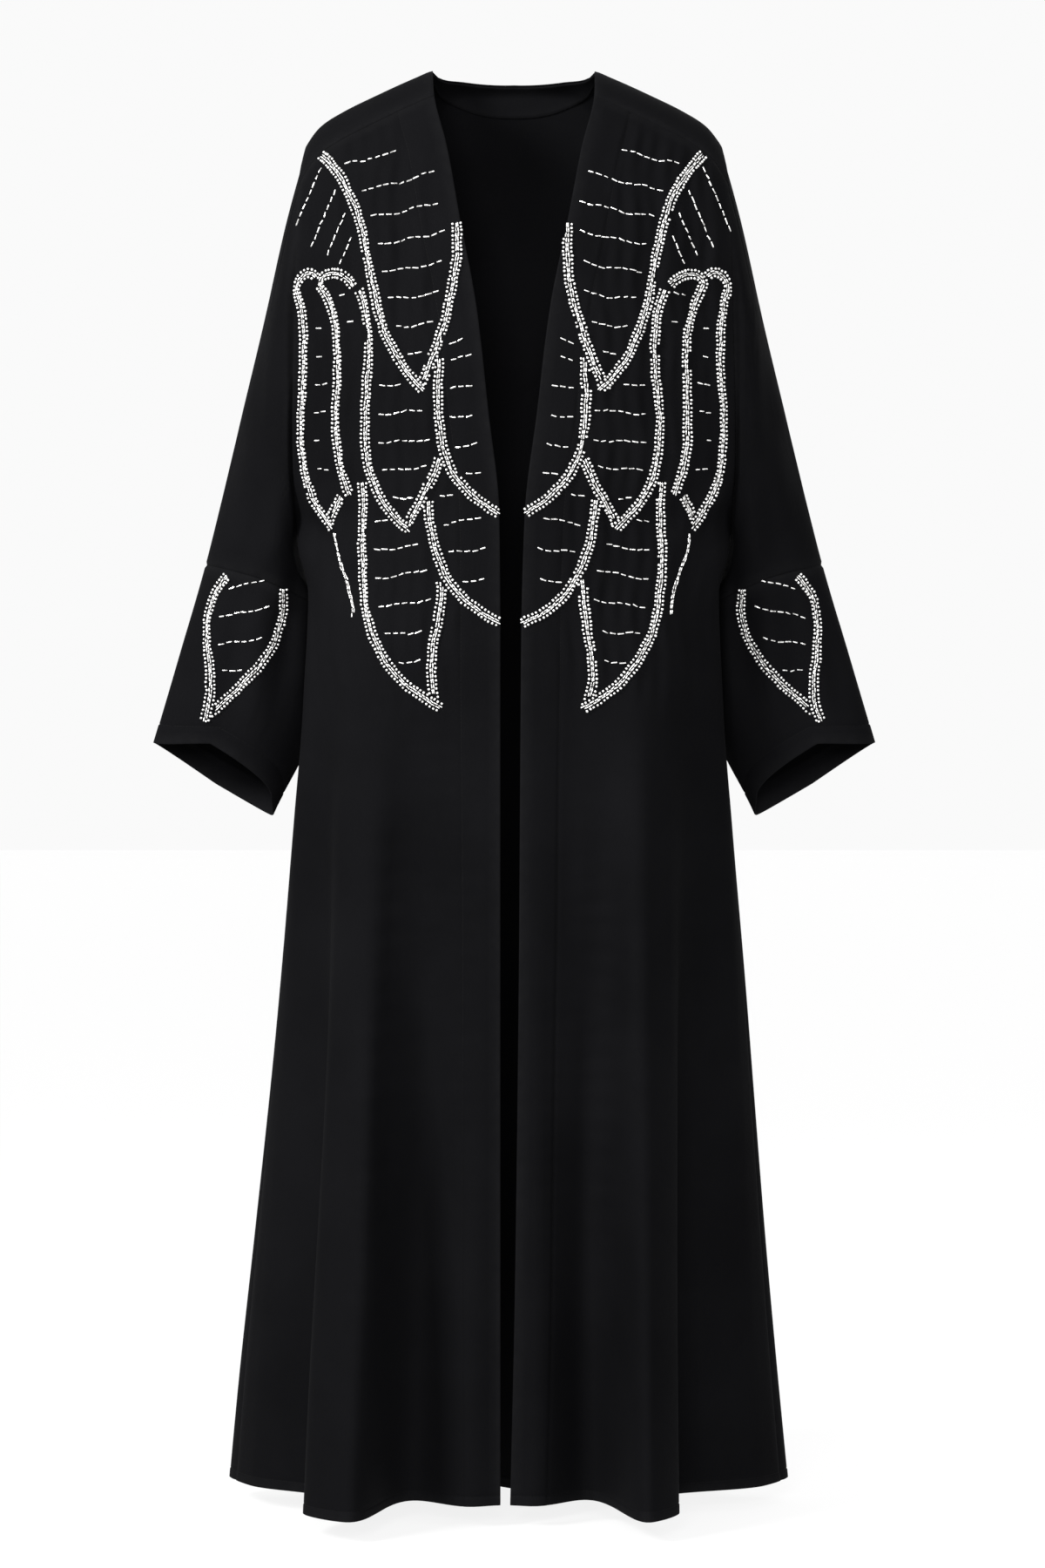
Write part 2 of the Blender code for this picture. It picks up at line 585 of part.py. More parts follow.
def bead_band(name, side, path, find):
    """A low rounded band that follows a path on a panel, with square ends and a mitre at the leaf's tip."""
    flat = np.stack([LEAF_MIDDLE + side * path[:, 0], path[:, 1]], axis=-1)
    ahead = unit(np.gradient(flat, axis=0))
    before, after = unit(np.diff(flat, axis=0)[:-1]), unit(np.diff(flat, axis=0)[1:])
    widen = np.ones(len(flat))
    widen[1:-1] = 1 / np.maximum(np.sqrt((1 + (before * after).sum(axis=1)) / 2), MITRE_LIMIT)
    across = np.stack([ahead[:, 1], -ahead[:, 0]], axis=-1) * (BEAD_BAND / 2 * widen)[:, None]
    rings = []
    for middle, reach in zip(flat, across):
        spots = [find(*(middle + reach * share)) for share, _ in BAND_PROFILE]
        if None in spots:
            continue
        rises = [BAND_CLEAR + BEAD_RISE * height for _, height in BAND_PROFILE]
        rings.append([np.array(place) + np.array(normal) * rise for (place, normal), rise in zip(spots, rises)])
    points = np.array(rings)
    rows, count = points.shape[:2]
    faces = []
    for i in range(rows - 1):
        for j in range(count):
            j2 = (j + 1) % count
            faces.append((i * count + j, i * count + j2, (i + 1) * count + j2, (i + 1) * count + j))
    faces.append(tuple(range(count)))
    faces.append(tuple(reversed(range((rows - 1) * count, rows * count))))
    return solid(name, points.reshape(-1, 3), faces, BEADS)


def build_body():
    """The back and the two fronts. Returns the grids that the sleeves, facing and bands are made from."""
    sides = back_columns()
    halves = {side: body_rows(side, "back", sides) for side in (-1, 1)}
    back = np.concatenate([halves[-1][:, :0:-1], halves[1]], axis=1)
    fronts = {side: body_rows(side, "front", np.linspace(0.0, 1.0, FRONT_COLUMNS)) for side in (-1, 1)}
    axis = back.mean(axis=(0, 1)) * np.array((0.0, 0.0, 1.0))
    back_normals = normals_of(back, axis + np.array((0.0, -0.3, 0.0)))
    front_normals = {side: normals_of(fronts[side], axis + np.array((0.0, 0.3, 0.0))) for side in fronts}
    return back, fronts, back_normals, front_normals


def neck_facing(back, normals, neck_first, neck_last, over):
    """Grid of the facing's outer points, which follow the inside of the back down from the neckline."""
    columns = []
    for j in range(neck_first, neck_last + 1):
        line = (back[: over + 1, j] - normals[: over + 1, j] * (WALL + FACING_CLEAR))[::-1]
        run = np.concatenate([[0.0], np.cumsum(np.linalg.norm(np.diff(line, axis=0), axis=1))])
        at = np.linspace(FACING_INSET, FACING_DEPTH, FACING_ROWS)
        columns.append(np.stack([np.interp(at, run, line[:, k]) for k in range(3)], axis=-1))
    return np.stack(columns, axis=1)


def armhole_loop(side, back, front):
    """Points of the armhole from the forward seam down the front, round the underarm and up the back."""
    column = 0 if side < 0 else -1
    down_front = front[LOWER_ROWS:, -1][::-1]
    up_back = back[LOWER_ROWS + 1 :, column]
    return np.concatenate([down_front, up_back[:-1]])


def share_normals(first, second):
    """Gives two meeting edges the same normals, so that their walls meet face to face."""
    mean = unit(first + second)
    first[:] = mean
    second[:] = mean


def main():
    for old in list(bpy.data.objects):
        bpy.data.objects.remove(old, do_unlink=True)
    back, fronts, back_normals, front_normals = build_body()
    neck_first = BACK_COLUMNS - 1
    neck_last = back.shape[1] - BACK_COLUMNS
    over = LOWER_ROWS + UPPER_ROWS + BACK_TOP_ROWS
    keep = np.ones((back.shape[0] - 1, back.shape[1] - 1), bool)
    keep[over:, neck_first:neck_last] = False

    for side, front in fronts.items():
        edge = 0 if side < 0 else -1
        share_normals(front_normals[side][: LOWER_ROWS + 1, -1], back_normals[: LOWER_ROWS + 1, edge])

    sleeves = {}
    for side, front in fronts.items():
        loop = armhole_loop(side, back, front)
        upper = sleeve_rings(side, loop, 0.0, SLEEVE_SEAM_AT, SLEEVE_ROWS + 1)
        lower = sleeve_rings(side, loop, SLEEVE_SEAM_AT, len(SLEEVE) - 1, SLEEVE_END_ROWS + 1)
        whole = np.concatenate([upper, lower[1:]])
        middle = whole.mean(axis=1, keepdims=True)
        normals = normals_of(whole, middle, closed=True)
        count = front.shape[0] - LOWER_ROWS
        share_normals(normals[0, :count], front_normals[side][LOWER_ROWS:, -1][::-1])
        edge = 0 if side < 0 else -1
        share_normals(normals[0, count:], back_normals[LOWER_ROWS + 1 : -1, edge])
        sleeves[side] = (whole, normals)

    for side, (whole, normals) in sleeves.items():
        name = SIDE_NAMES[side]
        upper = whole[: SLEEVE_ROWS + 1].copy()
        upper[0] = pulled(upper[0], upper[1], ARMHOLE_GAP)
        shell("sleeve_" + name, upper, normals[: SLEEVE_ROWS + 1], WALL, CREPE, closed=True)
        lower = whole[SLEEVE_ROWS:].copy()
        lower[0] = pulled(lower[0], lower[1])
        shell("sleeve_end_" + name, lower, normals[SLEEVE_ROWS:], WALL, CREPE, closed=True)
        find = surface_finder(lower, closed=True)
        bead_band("beads_cuff_" + name, side, leaf_outline(CUFF_LEAF), find)

    for side, front in fronts.items():
        name = SIDE_NAMES[side]
        find = surface_finder(front)
        front[:, -1] = pulled(front[:, -1], front[:, -2])
        front[-1] = pulled(front[-1], front[-2], SHOULDER_GAP)
        shell("front_" + name, front, front_normals[side], WALL, CREPE)
        laid = []
        for leaf in LEAVES:
            path = clear_of(leaf_outline(leaf), laid, BEAD_BAND * BAND_FADE)
            laid.append(leaf_outline(leaf, FINE_STEP))
            bead_band(f"beads_{leaf.name}_{name}", side, path, find)
    facing = neck_facing(back, back_normals, neck_first, neck_last, over)
    facing_normals = normals_of(facing, facing.mean(axis=(0, 1)) + np.array((0.0, -0.3, 0.0)))
    shell("back_neck_facing", facing, facing_normals, FACING_WALL, FACING_CREPE)
    shell("back", back, back_normals, WALL, CREPE, keep=keep)


main()
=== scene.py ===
"""Looks of a full-length open robe in black crepe with beaded leaves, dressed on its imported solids.

Places are in metres in the frame of the solids: +X is the wearer's left, -Y the front and +Z up.
The origin lies midway between the two neck points.
"""

from __future__ import annotations
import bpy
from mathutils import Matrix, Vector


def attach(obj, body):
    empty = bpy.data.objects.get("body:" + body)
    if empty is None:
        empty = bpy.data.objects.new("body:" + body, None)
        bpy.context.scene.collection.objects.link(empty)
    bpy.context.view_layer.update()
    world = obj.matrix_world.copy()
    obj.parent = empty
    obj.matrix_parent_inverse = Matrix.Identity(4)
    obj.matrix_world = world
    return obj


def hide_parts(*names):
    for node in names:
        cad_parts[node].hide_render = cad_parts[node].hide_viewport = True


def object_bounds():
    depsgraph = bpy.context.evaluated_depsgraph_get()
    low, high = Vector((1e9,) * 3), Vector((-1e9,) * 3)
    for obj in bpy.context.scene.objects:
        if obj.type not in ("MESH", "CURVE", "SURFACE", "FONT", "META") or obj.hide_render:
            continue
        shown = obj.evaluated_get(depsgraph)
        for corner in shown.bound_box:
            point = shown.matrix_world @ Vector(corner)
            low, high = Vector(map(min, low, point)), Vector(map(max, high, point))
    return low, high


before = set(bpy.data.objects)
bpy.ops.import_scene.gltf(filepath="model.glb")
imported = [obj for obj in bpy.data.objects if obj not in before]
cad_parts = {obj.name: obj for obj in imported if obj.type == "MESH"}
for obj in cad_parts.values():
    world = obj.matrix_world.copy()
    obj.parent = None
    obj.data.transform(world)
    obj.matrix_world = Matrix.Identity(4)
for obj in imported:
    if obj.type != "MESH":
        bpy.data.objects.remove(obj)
CAD_BOX = [list(corner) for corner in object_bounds()]

import logging
import math
from dataclasses import dataclass, field
from enum import Enum
from typing import Callable, NamedTuple, Optional, Sequence

import bpy
import numpy as np
from mathutils import Vector
from mathutils.bvhtree import BVHTree

LOG = logging.getLogger("robe")
QUARTER = math.pi / 2
BEHIND = np.array((0.0, 0.3, 0.0))
UPRIGHT = np.array((0.0, 0.0, 1.0))
FRONT_SEED = 40
CUFF_SEED = 50


class Side(Enum):
    """The wearer's side, with the sign of its x."""

    RIGHT = -1
    LEFT = 1

    @property
    def word(self) -> str:
        """The side's name in a piece's name."""
        return self.name.lower()


class Face(Enum):
    """The front or the back of the garment."""

    FRONT = "front"
    BACK = "back"


class Slot(Enum):
    """The material slots of the record."""

    CREPE = "crepe"
    FACING = "facing"
    BEADS = "beads"


class Section(NamedTuple):
    """A section of the body: half-widths, depths at the centre and the side, and the curve's power."""

    z: float
    right: float
    left: float
    front: float
    back: float
    arm_front: float
    arm_back: float
    round: float


class Edge(NamedTuple):
    """Distance of each front's edge from the middle at one height."""

    z: float
    right: float
    left: float


class Fold(NamedTuple):
    """A ridge or hollow of the hem, and the height at which its fold starts."""

    side: int
    face: str
    x: float
    y: float
    top: float


class Cuff(NamedTuple):
    """A section of the sleeve: its outer and inner point, its depths, and the lift of its edges."""

    outer_x: float
    outer_z: float
    inner_x: float
    inner_z: float
    y: float
    front: float
    back: float
    front_lift: float
    back_lift: float


class Crease(NamedTuple):
    """A soft fold in the cloth from one end to the other, raised if height is above zero."""

    x0: float
    z0: float
    x1: float
    z1: float
    bend: float
    width: float
    height: float


class Leaf(NamedTuple):
    """A beaded leaf: its tip, the top of its outer edge, that edge's bows, its inner edge, and an arch."""

    name: str
    tip_x: float
    tip_z: float
    x: float
    z: float
    upper: float
    lower: float
    inner_x: Optional[float]
    inner_z: Optional[float]
    inner_upper: Optional[float]
    inner_lower: Optional[float]
    arch_x: Optional[float]
    arch_z: Optional[float]


BODY = (
    Section(0.000, 0.2050, 0.2050, 0.078, 0.070, 0.046, 0.050, 1.6),
    Section(-0.070, 0.2070, 0.2070, 0.088, 0.088, 0.048, 0.054, 1.6),
    Section(-0.110, 0.2125, 0.2125, 0.098, 0.100, 0.052, 0.060, 1.6),
    Section(-0.200, 0.2155, 0.2155, 0.122, 0.110, 0.058, 0.066, 1.6),
    Section(-0.300, 0.2180, 0.2180, 0.130, 0.112, 0.057, 0.064, 1.5),
    Section(-0.380, 0.2195, 0.2195, 0.128, 0.108, 0.044, 0.050, 1.3),
    Section(-0.430, 0.2185, 0.2185, 0.127, 0.108, 0.024, 0.028, 1.1),
    Section(-0.454, 0.2170, 0.2170, 0.127, 0.108, 0.000, 0.000, 1.0),
    Section(-0.482, 0.2125, 0.2125, 0.127, 0.110, 0.014, -0.014, 0.95),
    Section(-0.520, 0.2035, 0.2035, 0.128, 0.112, 0.024, -0.024, 0.9),
    Section(-0.640, 0.2090, 0.2080, 0.132, 0.122, 0.030, -0.030, 0.9),
    Section(-0.745, 0.2190, 0.2170, 0.136, 0.128, 0.020, -0.020, 0.9),
    Section(-0.885, 0.2320, 0.2290, 0.141, 0.134, 0.000, 0.000, 0.9),
    Section(-1.024, 0.2450, 0.2390, 0.146, 0.140, 0.000, 0.000, 0.9),
    Section(-1.163, 0.2590, 0.2490, 0.150, 0.145, 0.000, 0.000, 0.9),
    Section(-1.302, 0.2730, 0.2600, 0.154, 0.150, 0.000, 0.000, 0.9),
    Section(-1.440, 0.2850, 0.2720, 0.158, 0.154, 0.000, 0.000, 0.9),
)
OPENING = (
    Edge(0.000, 0.0810, 0.0810),
    Edge(-0.030, 0.0790, 0.0800),
    Edge(-0.090, 0.0650, 0.0665),
    Edge(-0.160, 0.0525, 0.0535),
    Edge(-0.255, 0.0352, 0.0348),
    Edge(-0.350, 0.0246, 0.0232),
    Edge(-0.449, 0.0140, 0.0112),
    Edge(-0.560, 0.0130, 0.0079),
    Edge(-0.900, 0.0130, 0.0055),
    Edge(-1.200, 0.0130, 0.0020),
    Edge(-1.440, 0.0131, -0.0031),
)
SHOULDER = (
    (0.0000, 0.0060),
    (0.0450, 0.0045),
    (0.0810, 0.0000),
    (0.0960, -0.0060),
    (0.1350, -0.0235),
    (0.1710, -0.0410),
    (0.1920, -0.0545),
    (0.2070, -0.0740),
    (0.2300, -0.1300),
)
FOLDS = (
    Fold(-1, "front", -0.0131, -0.090, -0.700),
    Fold(-1, "front", -0.0408, -0.098, -0.700),
    Fold(-1, "front", -0.0953, -0.065, -0.600),
    Fold(-1, "front", -0.1610, -0.180, -0.480),
    Fold(-1, "front", -0.2009, -0.142, -0.470),
    Fold(-1, "front", -0.1850, -0.046, -0.470),
    Fold(-1, "front", -0.2640, 0.020, -0.600),
    Fold(-1, "back", -0.2880, 0.085, -0.700),
    Fold(-1, "back", -0.2180, 0.098, -0.640),
    Fold(-1, "back", -0.1650, 0.180, -0.560),
    Fold(-1, "back", -0.1080, 0.108, -0.480),
    Fold(-1, "back", -0.0500, 0.162, -0.420),
    Fold(1, "back", 0.0120, 0.118, -0.400),
    Fold(1, "back", 0.0720, 0.172, -0.440),
    Fold(1, "back", 0.1320, 0.104, -0.480),
    Fold(1, "back", 0.1900, 0.162, -0.580),
    Fold(1, "back", 0.2280, 0.096, -0.640),
    Fold(1, "back", 0.2770, 0.080, -0.700),
    Fold(1, "front", 0.2520, 0.020, -0.600),
    Fold(1, "front", 0.1440, -0.046, -0.480),
    Fold(1, "front", 0.1576, -0.142, -0.500),
    Fold(1, "front", 0.1331, -0.180, -0.500),
    Fold(1, "front", 0.0686, -0.060, -0.600),
    Fold(1, "front", 0.0185, -0.095, -0.700),
    Fold(1, "front", -0.0031, -0.090, -0.700),
)
SLEEVE = (
    Cuff(0.2070, -0.0740, 0.2170, -0.4540, 0.000, 0.058, 0.066, 0.000, 0.000),
    Cuff(0.2265, -0.1450, 0.2172, -0.4630, 0.004, 0.063, 0.070, 0.000, 0.000),
    Cuff(0.2480, -0.2380, 0.2140, -0.4780, 0.013, 0.064, 0.070, 0.000, 0.000),
    Cuff(0.2780, -0.3600, 0.2082, -0.5000, 0.027, 0.062, 0.066, 0.000, 0.000),
    Cuff(0.3110, -0.4900, 0.1990, -0.5340, 0.042, 0.054, 0.058, 0.006, 0.000),
    Cuff(0.3380, -0.5800, 0.2000, -0.6380, 0.046, 0.046, 0.048, 0.016, 0.000),
    Cuff(0.3640, -0.6690, 0.2430, -0.7400, 0.040, 0.036, 0.036, 0.034, -0.006),
)
SLEEVE_SEAM_AT = 4

NO_EDGE = (None, None, None, None)
NO_ARCH = (None, None)
LEAVES = (
    Leaf("shoulder", 0.089, -0.326, 0.188, -0.091, -0.008, 0.008, 0.054, -0.166, -0.010, -0.009, *NO_ARCH),
    Leaf("breast", 0.018, -0.446, 0.071, -0.290, 0.019, 0.026, *NO_EDGE, *NO_ARCH),
    Leaf("middle", 0.103, -0.461, 0.149, -0.230, 0.006, 0.024, 0.068, -0.390, -0.002, -0.002, *NO_ARCH),
    Leaf("inner_arm", 0.160, -0.424, 0.188, -0.222, -0.009, 0.002, *NO_EDGE, 0.153, -0.232),
    Leaf("outer_arm", 0.179, -0.456, 0.211, -0.226, 0.004, 0.017, 0.167, -0.430, 0.000, 0.000, 0.190, -0.222),
    Leaf("opening", 0.018, -0.552, 0.083, -0.420, 0.017, 0.021, *NO_EDGE, *NO_ARCH),
    Leaf("lowest", 0.072, -0.636, 0.145, -0.417, 0.026, 0.037, 0.070, -0.499, 0.000, 0.006, *NO_ARCH),
    Leaf("side", 0.155, -0.542, 0.162, -0.434, 0.013, 0.006, *NO_EDGE, *NO_ARCH),
)
CUFF_LEAF = Leaf("cuff", 0.306, -0.643, 0.284, -0.504, 0.014, 0.004, 0.230, -0.511, -0.022, -0.017, *NO_ARCH)
LEAF_MIDDLE = -0.0015
BOW_POINTS = 60
THIRDS_SCALE = 13.5
ARCH_RISE = 0.014
ARCH_POINTS = 24

# Creases of each panel, in its own sizes: seen from its face, x from the middle outwards
FRONT_CREASES = {
    Side.RIGHT: (
        Crease(0.118, -0.090, 0.122, -0.330, 0.004, 0.009, 0.0018),
        Crease(0.146, -0.110, 0.140, -0.300, -0.003, 0.008, 0.0019),
        Crease(0.094, -0.080, 0.091, -0.270, 0.003, 0.008, 0.0014),
        Crease(0.190, -0.120, 0.178, -0.380, 0.004, 0.012, -0.0027),
        Crease(0.205, -0.400, 0.160, -0.475, 0.008, 0.010, 0.0060),
        Crease(0.203, -0.440, 0.150, -0.560, -0.006, 0.012, -0.0045),
        Crease(0.070, -0.560, 0.078, -1.050, 0.004, 0.018, 0.0033),
        Crease(0.043, -0.640, 0.046, -1.180, -0.003, 0.014, -0.0021),
        Crease(0.112, -0.660, 0.118, -1.330, 0.006, 0.016, -0.0030),
        Crease(0.146, -0.900, 0.150, -1.360, -0.004, 0.013, 0.0027),
    ),
    Side.LEFT: (
        Crease(0.121, -0.095, 0.117, -0.310, -0.004, 0.009, 0.0019),
        Crease(0.150, -0.120, 0.148, -0.290, 0.003, 0.008, 0.0016),
        Crease(0.092, -0.075, 0.096, -0.290, 0.002, 0.009, 0.0015),
        Crease(0.188, -0.130, 0.180, -0.360, -0.003, 0.012, -0.0024),
        Crease(0.204, -0.405, 0.166, -0.468, 0.006, 0.010, 0.0054),
        Crease(0.200, -0.450, 0.158, -0.545, -0.005, 0.012, -0.0042),
        Crease(0.064, -0.600, 0.060, -1.120, 0.005, 0.017, 0.0030),
        Crease(0.088, -0.700, 0.092, -1.300, -0.004, 0.014, -0.0027),
        Crease(0.122, -0.620, 0.116, -1.050, 0.004, 0.013, 0.0023),
        Crease(0.030, -0.820, 0.034, -1.300, 0.003, 0.012, -0.0018),
    ),
}
BACK_CREASES = {
    Side.RIGHT: (
        Crease(0.020, -0.070, 0.060, -0.230, 0.010, 0.016, -0.0033),
        Crease(0.120, -0.130, 0.085, -0.330, -0.008, 0.014, 0.0030),
        Crease(0.185, -0.300, 0.120, -0.440, 0.012, 0.015, 0.0048),
        Crease(0.190, -0.370, 0.135, -0.520, 0.008, 0.013, -0.0039),
        Crease(0.175, -0.440, 0.150, -0.640, 0.006, 0.014, 0.0039),
        Crease(0.060, -0.330, 0.070, -0.620, 0.004, 0.017, 0.0033),
        Crease(0.135, -0.620, 0.142, -1.020, 0.005, 0.016, -0.0033),
        Crease(0.085, -0.820, 0.078, -1.330, -0.005, 0.015, 0.0030),
        Crease(0.192, -0.820, 0.208, -1.260, 0.006, 0.014, 0.0030),
    ),
    Side.LEFT: (
        Crease(0.015, -0.080, 0.045, -0.280, -0.008, 0.015, 0.0027),
        Crease(0.128, -0.110, 0.100, -0.300, 0.008, 0.015, -0.0033),
        Crease(0.188, -0.320, 0.128, -0.430, 0.010, 0.014, 0.0045),
        Crease(0.186, -0.390, 0.120, -0.560, 0.010, 0.013, -0.0042),
        Crease(0.182, -0.450, 0.160, -0.600, 0.006, 0.012, 0.0036),
        Crease(0.050, -0.460, 0.044, -0.800, 0.005, 0.018, 0.0033),
        Crease(0.104, -0.560, 0.100, -0.930, -0.005, 0.015, -0.0030),
        Crease(0.160, -0.760, 0.170, -1.300, 0.004, 0.014, 0.0033),
        Crease(0.030, -0.900, 0.028, -1.380, 0.003, 0.013, -0.0024),
    ),
}
SLEEVE_CREASES = {
    Face.FRONT: (
        Crease(0.226, -0.190, 0.236, -0.420, 0.006, 0.010, 0.0030),
        Crease(0.232, -0.400, 0.262, -0.520, -0.010, 0.012, 0.0045),
        Crease(0.214, -0.440, 0.232, -0.560, -0.010, 0.011, -0.0045),
        Crease(0.262, -0.330, 0.288, -0.480, 0.008, 0.013, -0.0033),
        Crease(0.248, -0.500, 0.252, -0.690, 0.006, 0.013, 0.0042),
        Crease(0.312, -0.520, 0.336, -0.660, -0.004, 0.012, -0.0024),
        Crease(0.280, -0.560, 0.292, -0.690, 0.004, 0.012, -0.0021),
        Crease(0.212, -0.520, 0.218, -0.640, -0.005, 0.010, 0.0033),
    ),
    Face.BACK: (
        Crease(0.222, -0.160, 0.246, -0.360, -0.008, 0.013, 0.0039),
        Crease(0.236, -0.300, 0.280, -0.420, 0.010, 0.014, -0.0042),
        Crease(0.222, -0.400, 0.276, -0.500, 0.012, 0.013, 0.0048),
        Crease(0.214, -0.450, 0.256, -0.580, 0.012, 0.012, -0.0042),
        Crease(0.296, -0.470, 0.322, -0.640, -0.006, 0.013, 0.0033),
        Crease(0.238, -0.580, 0.270, -0.700, 0.006, 0.012, 0.0033),
        Crease(0.270, -0.520, 0.288, -0.660, -0.006, 0.011, -0.0027),
    ),
}


@dataclass(frozen=True)
class Curve:
    """A smooth curve through a table's points that doesn't swing past them."""

    x: np.ndarray
    y: np.ndarray

    @classmethod
    def of(cls, rows: Sequence[NamedTuple], key: str, column: str) -> "Curve":
        """The curve of one column of a table over another.

        Args:
            rows: The table.
            key: The column to measure along.
            column: The column to read.

        Returns:
            The curve, with its points in rising order.
        """
        ordered = sorted(rows, key=lambda row: getattr(row, key))
        return cls(
            np.array([getattr(row, key) for row in ordered]),
            np.array([getattr(row, column) for row in ordered]),
        )

    def at(self, place: np.ndarray | float) -> np.ndarray:
        """The curve's height at a place or places.

        Args:
            place: Where to read it. Beyond its ends the end values hold.

        Returns:
            The heights.
        """
        x, y = self.x, self.y
        slope = np.diff(y) / np.diff(x)
        tangent = np.empty_like(y)
        tangent[0], tangent[-1] = slope[0], slope[-1]
        same_way = slope[:-1] * slope[1:] > 0
        both = np.where(same_way, slope[:-1] + slope[1:], 1.0)
        tangent[1:-1] = np.where(same_way, 2 * slope[:-1] * slope[1:] / both, 0.0)
        at = np.clip(place, x[0], x[-1])
        i = np.clip(np.searchsorted(x, at, side="right") - 1, 0, len(x) - 2)
        span = x[i + 1] - x[i]
        t = (at - x[i]) / span
        rise = y[i + 1] - y[i]
        a, b = tangent[i] * span, tangent[i + 1] * span
        return y[i] + t * (a + t * (3 * rise - 2 * a - b + t * (a + b - 2 * rise)))


def ease(value: np.ndarray | float, start: float, end: float) -> np.ndarray:
    """A smooth step.

    Args:
        value: Where to read it.
        start: The place where it is 0.
        end: The place where it is 1.

    Returns:
        The step's heights.
    """
    t = np.clip((np.asarray(value) - start) / (end - start), 0.0, 1.0)
    return t * t * (3 - 2 * t)


def unit(vectors: np.ndarray) -> np.ndarray:
    """The vectors at unit length."""
    return vectors / np.maximum(np.linalg.norm(vectors, axis=-1, keepdims=True), 1e-12)


def run_along(points: np.ndarray) -> np.ndarray:
    """Distances of a line's points from its start."""
    return np.concatenate([[0.0], np.cumsum(np.linalg.norm(np.diff(points, axis=0), axis=1))])


def read_at(at: np.ndarray | float, run: np.ndarray, values: np.ndarray) -> np.ndarray:
    """Values along a line, read at distances from its start.

    Args:
        at: The distances.
        run: The distances of the line's own points.
        values: What each of its points has.

    Returns:
        The values there.
    """
    return np.stack([np.interp(at, run, values[:, k]) for k in range(values.shape[1])], axis=-1)


def longest(clear: Sequence[bool]) -> slice:
    """The longest unbroken stretch of what is clear."""
    best, first = (0, 0), 0
    for i, free in enumerate([*clear, False]):
        if not free:
            best = max(best, (first, i), key=lambda pair: pair[1] - pair[0])
            first = i + 1
    return slice(*best)


def cells_of(rows: int, columns: int, closed: bool, keep: Optional[np.ndarray] = None) -> np.ndarray:
    """The four corners of each cell of a grid.

    Args:
        rows: The grid's rows.
        columns: Its columns.
        closed: Whether the last column meets the first.
        keep: Marks the cells to take, or all.

    Returns:
        The corners' numbers.
    """
    i, j = np.meshgrid(np.arange(rows - 1), np.arange(columns if closed else columns - 1), indexing="ij")
    if keep is not None:
        i, j = i[keep], j[keep]
    i, j = i.reshape(-1), j.reshape(-1)
    j2 = (j + 1) % columns
    low, high = i * columns, (i + 1) * columns
    return np.stack([low + j, low + j2, high + j2, high + j], axis=-1)


def normals_of(grid: np.ndarray, inside: np.ndarray, closed: bool = False) -> np.ndarray:
    """Unit normals of a grid of points.

    Args:
        grid: Rows x columns x 3.
        inside: A point or points that the normals turn away from.
        closed: Whether the last column meets the first.

    Returns:
        The normals, in the grid's own layout.
    """
    if closed:
        across = np.roll(grid, -1, axis=1) - np.roll(grid, 1, axis=1)
    else:
        across = np.gradient(grid, axis=1)
    normal = unit(np.cross(across, np.gradient(grid, axis=0)))
    facing = np.sign(((grid - inside) * normal).sum(axis=-1).mean())
    return normal * (facing or 1.0)


def relief(points: np.ndarray, creases: Sequence[Crease]) -> np.ndarray:
    """How far creases raise the cloth.

    Args:
        points: Distances from the middle and heights, in any layout with 2 as its last size.
        creases: The creases to lay.

    Returns:
        The rise at each point, below zero in a trough.
    """
    flat = points.reshape(-1, 2)
    total = np.zeros(len(flat))
    t = np.linspace(0.0, 1.0, 25)
    for crease in creases:
        start, end = np.array((crease.x0, crease.z0)), np.array((crease.x1, crease.z1))
        chord = end - start
        aside = np.array((-chord[1], chord[0])) / np.linalg.norm(chord)
        path = start + chord * t[:, None] + aside * (crease.bend * 4 * t * (1 - t))[:, None]
        reach = 4 * crease.width
        near = (flat > path.min(axis=0) - reach).all(axis=1)
        near &= (flat < path.max(axis=0) + reach).all(axis=1)
        chosen = flat[near]
        if not len(chosen):
            continue
        gap = chosen[:, None] - path[None]
        distance = np.linalg.norm(gap, axis=-1)
        nearest = distance.argmin(axis=1)
        side = np.sign((gap[np.arange(len(chosen)), nearest] * aside).sum(axis=-1))
        off = distance[np.arange(len(chosen)), nearest] / crease.width
        shape = np.exp(-(off**2)) - 0.38 * np.exp(-((off - 1.9) ** 2)) * (1 + 0.5 * side)
        run = t[nearest]
        total[near] += crease.height * shape * ease(run, 0.0, 0.3) * (1 - ease(run, 0.55, 1.0))
    return total.reshape(points.shape[:-1])


def waviness(points: np.ndarray, height: float, seed: int) -> np.ndarray:
    """A broad unevenness of hand-cut cloth.

    Args:
        points: The places, with 3 as their last size.
        height: The most that it rises.
        seed: What sets one piece of cloth apart from another.

    Returns:
        The rise at each point.
    """
    chance = np.random.default_rng(seed)
    total = np.zeros(points.shape[:-1])
    for _ in range(7):
        direction = chance.normal(size=3) * np.array((16.0, 16.0, 7.0))
        total += np.sin(points @ direction + chance.uniform(0, math.tau))
    return height * total / 7


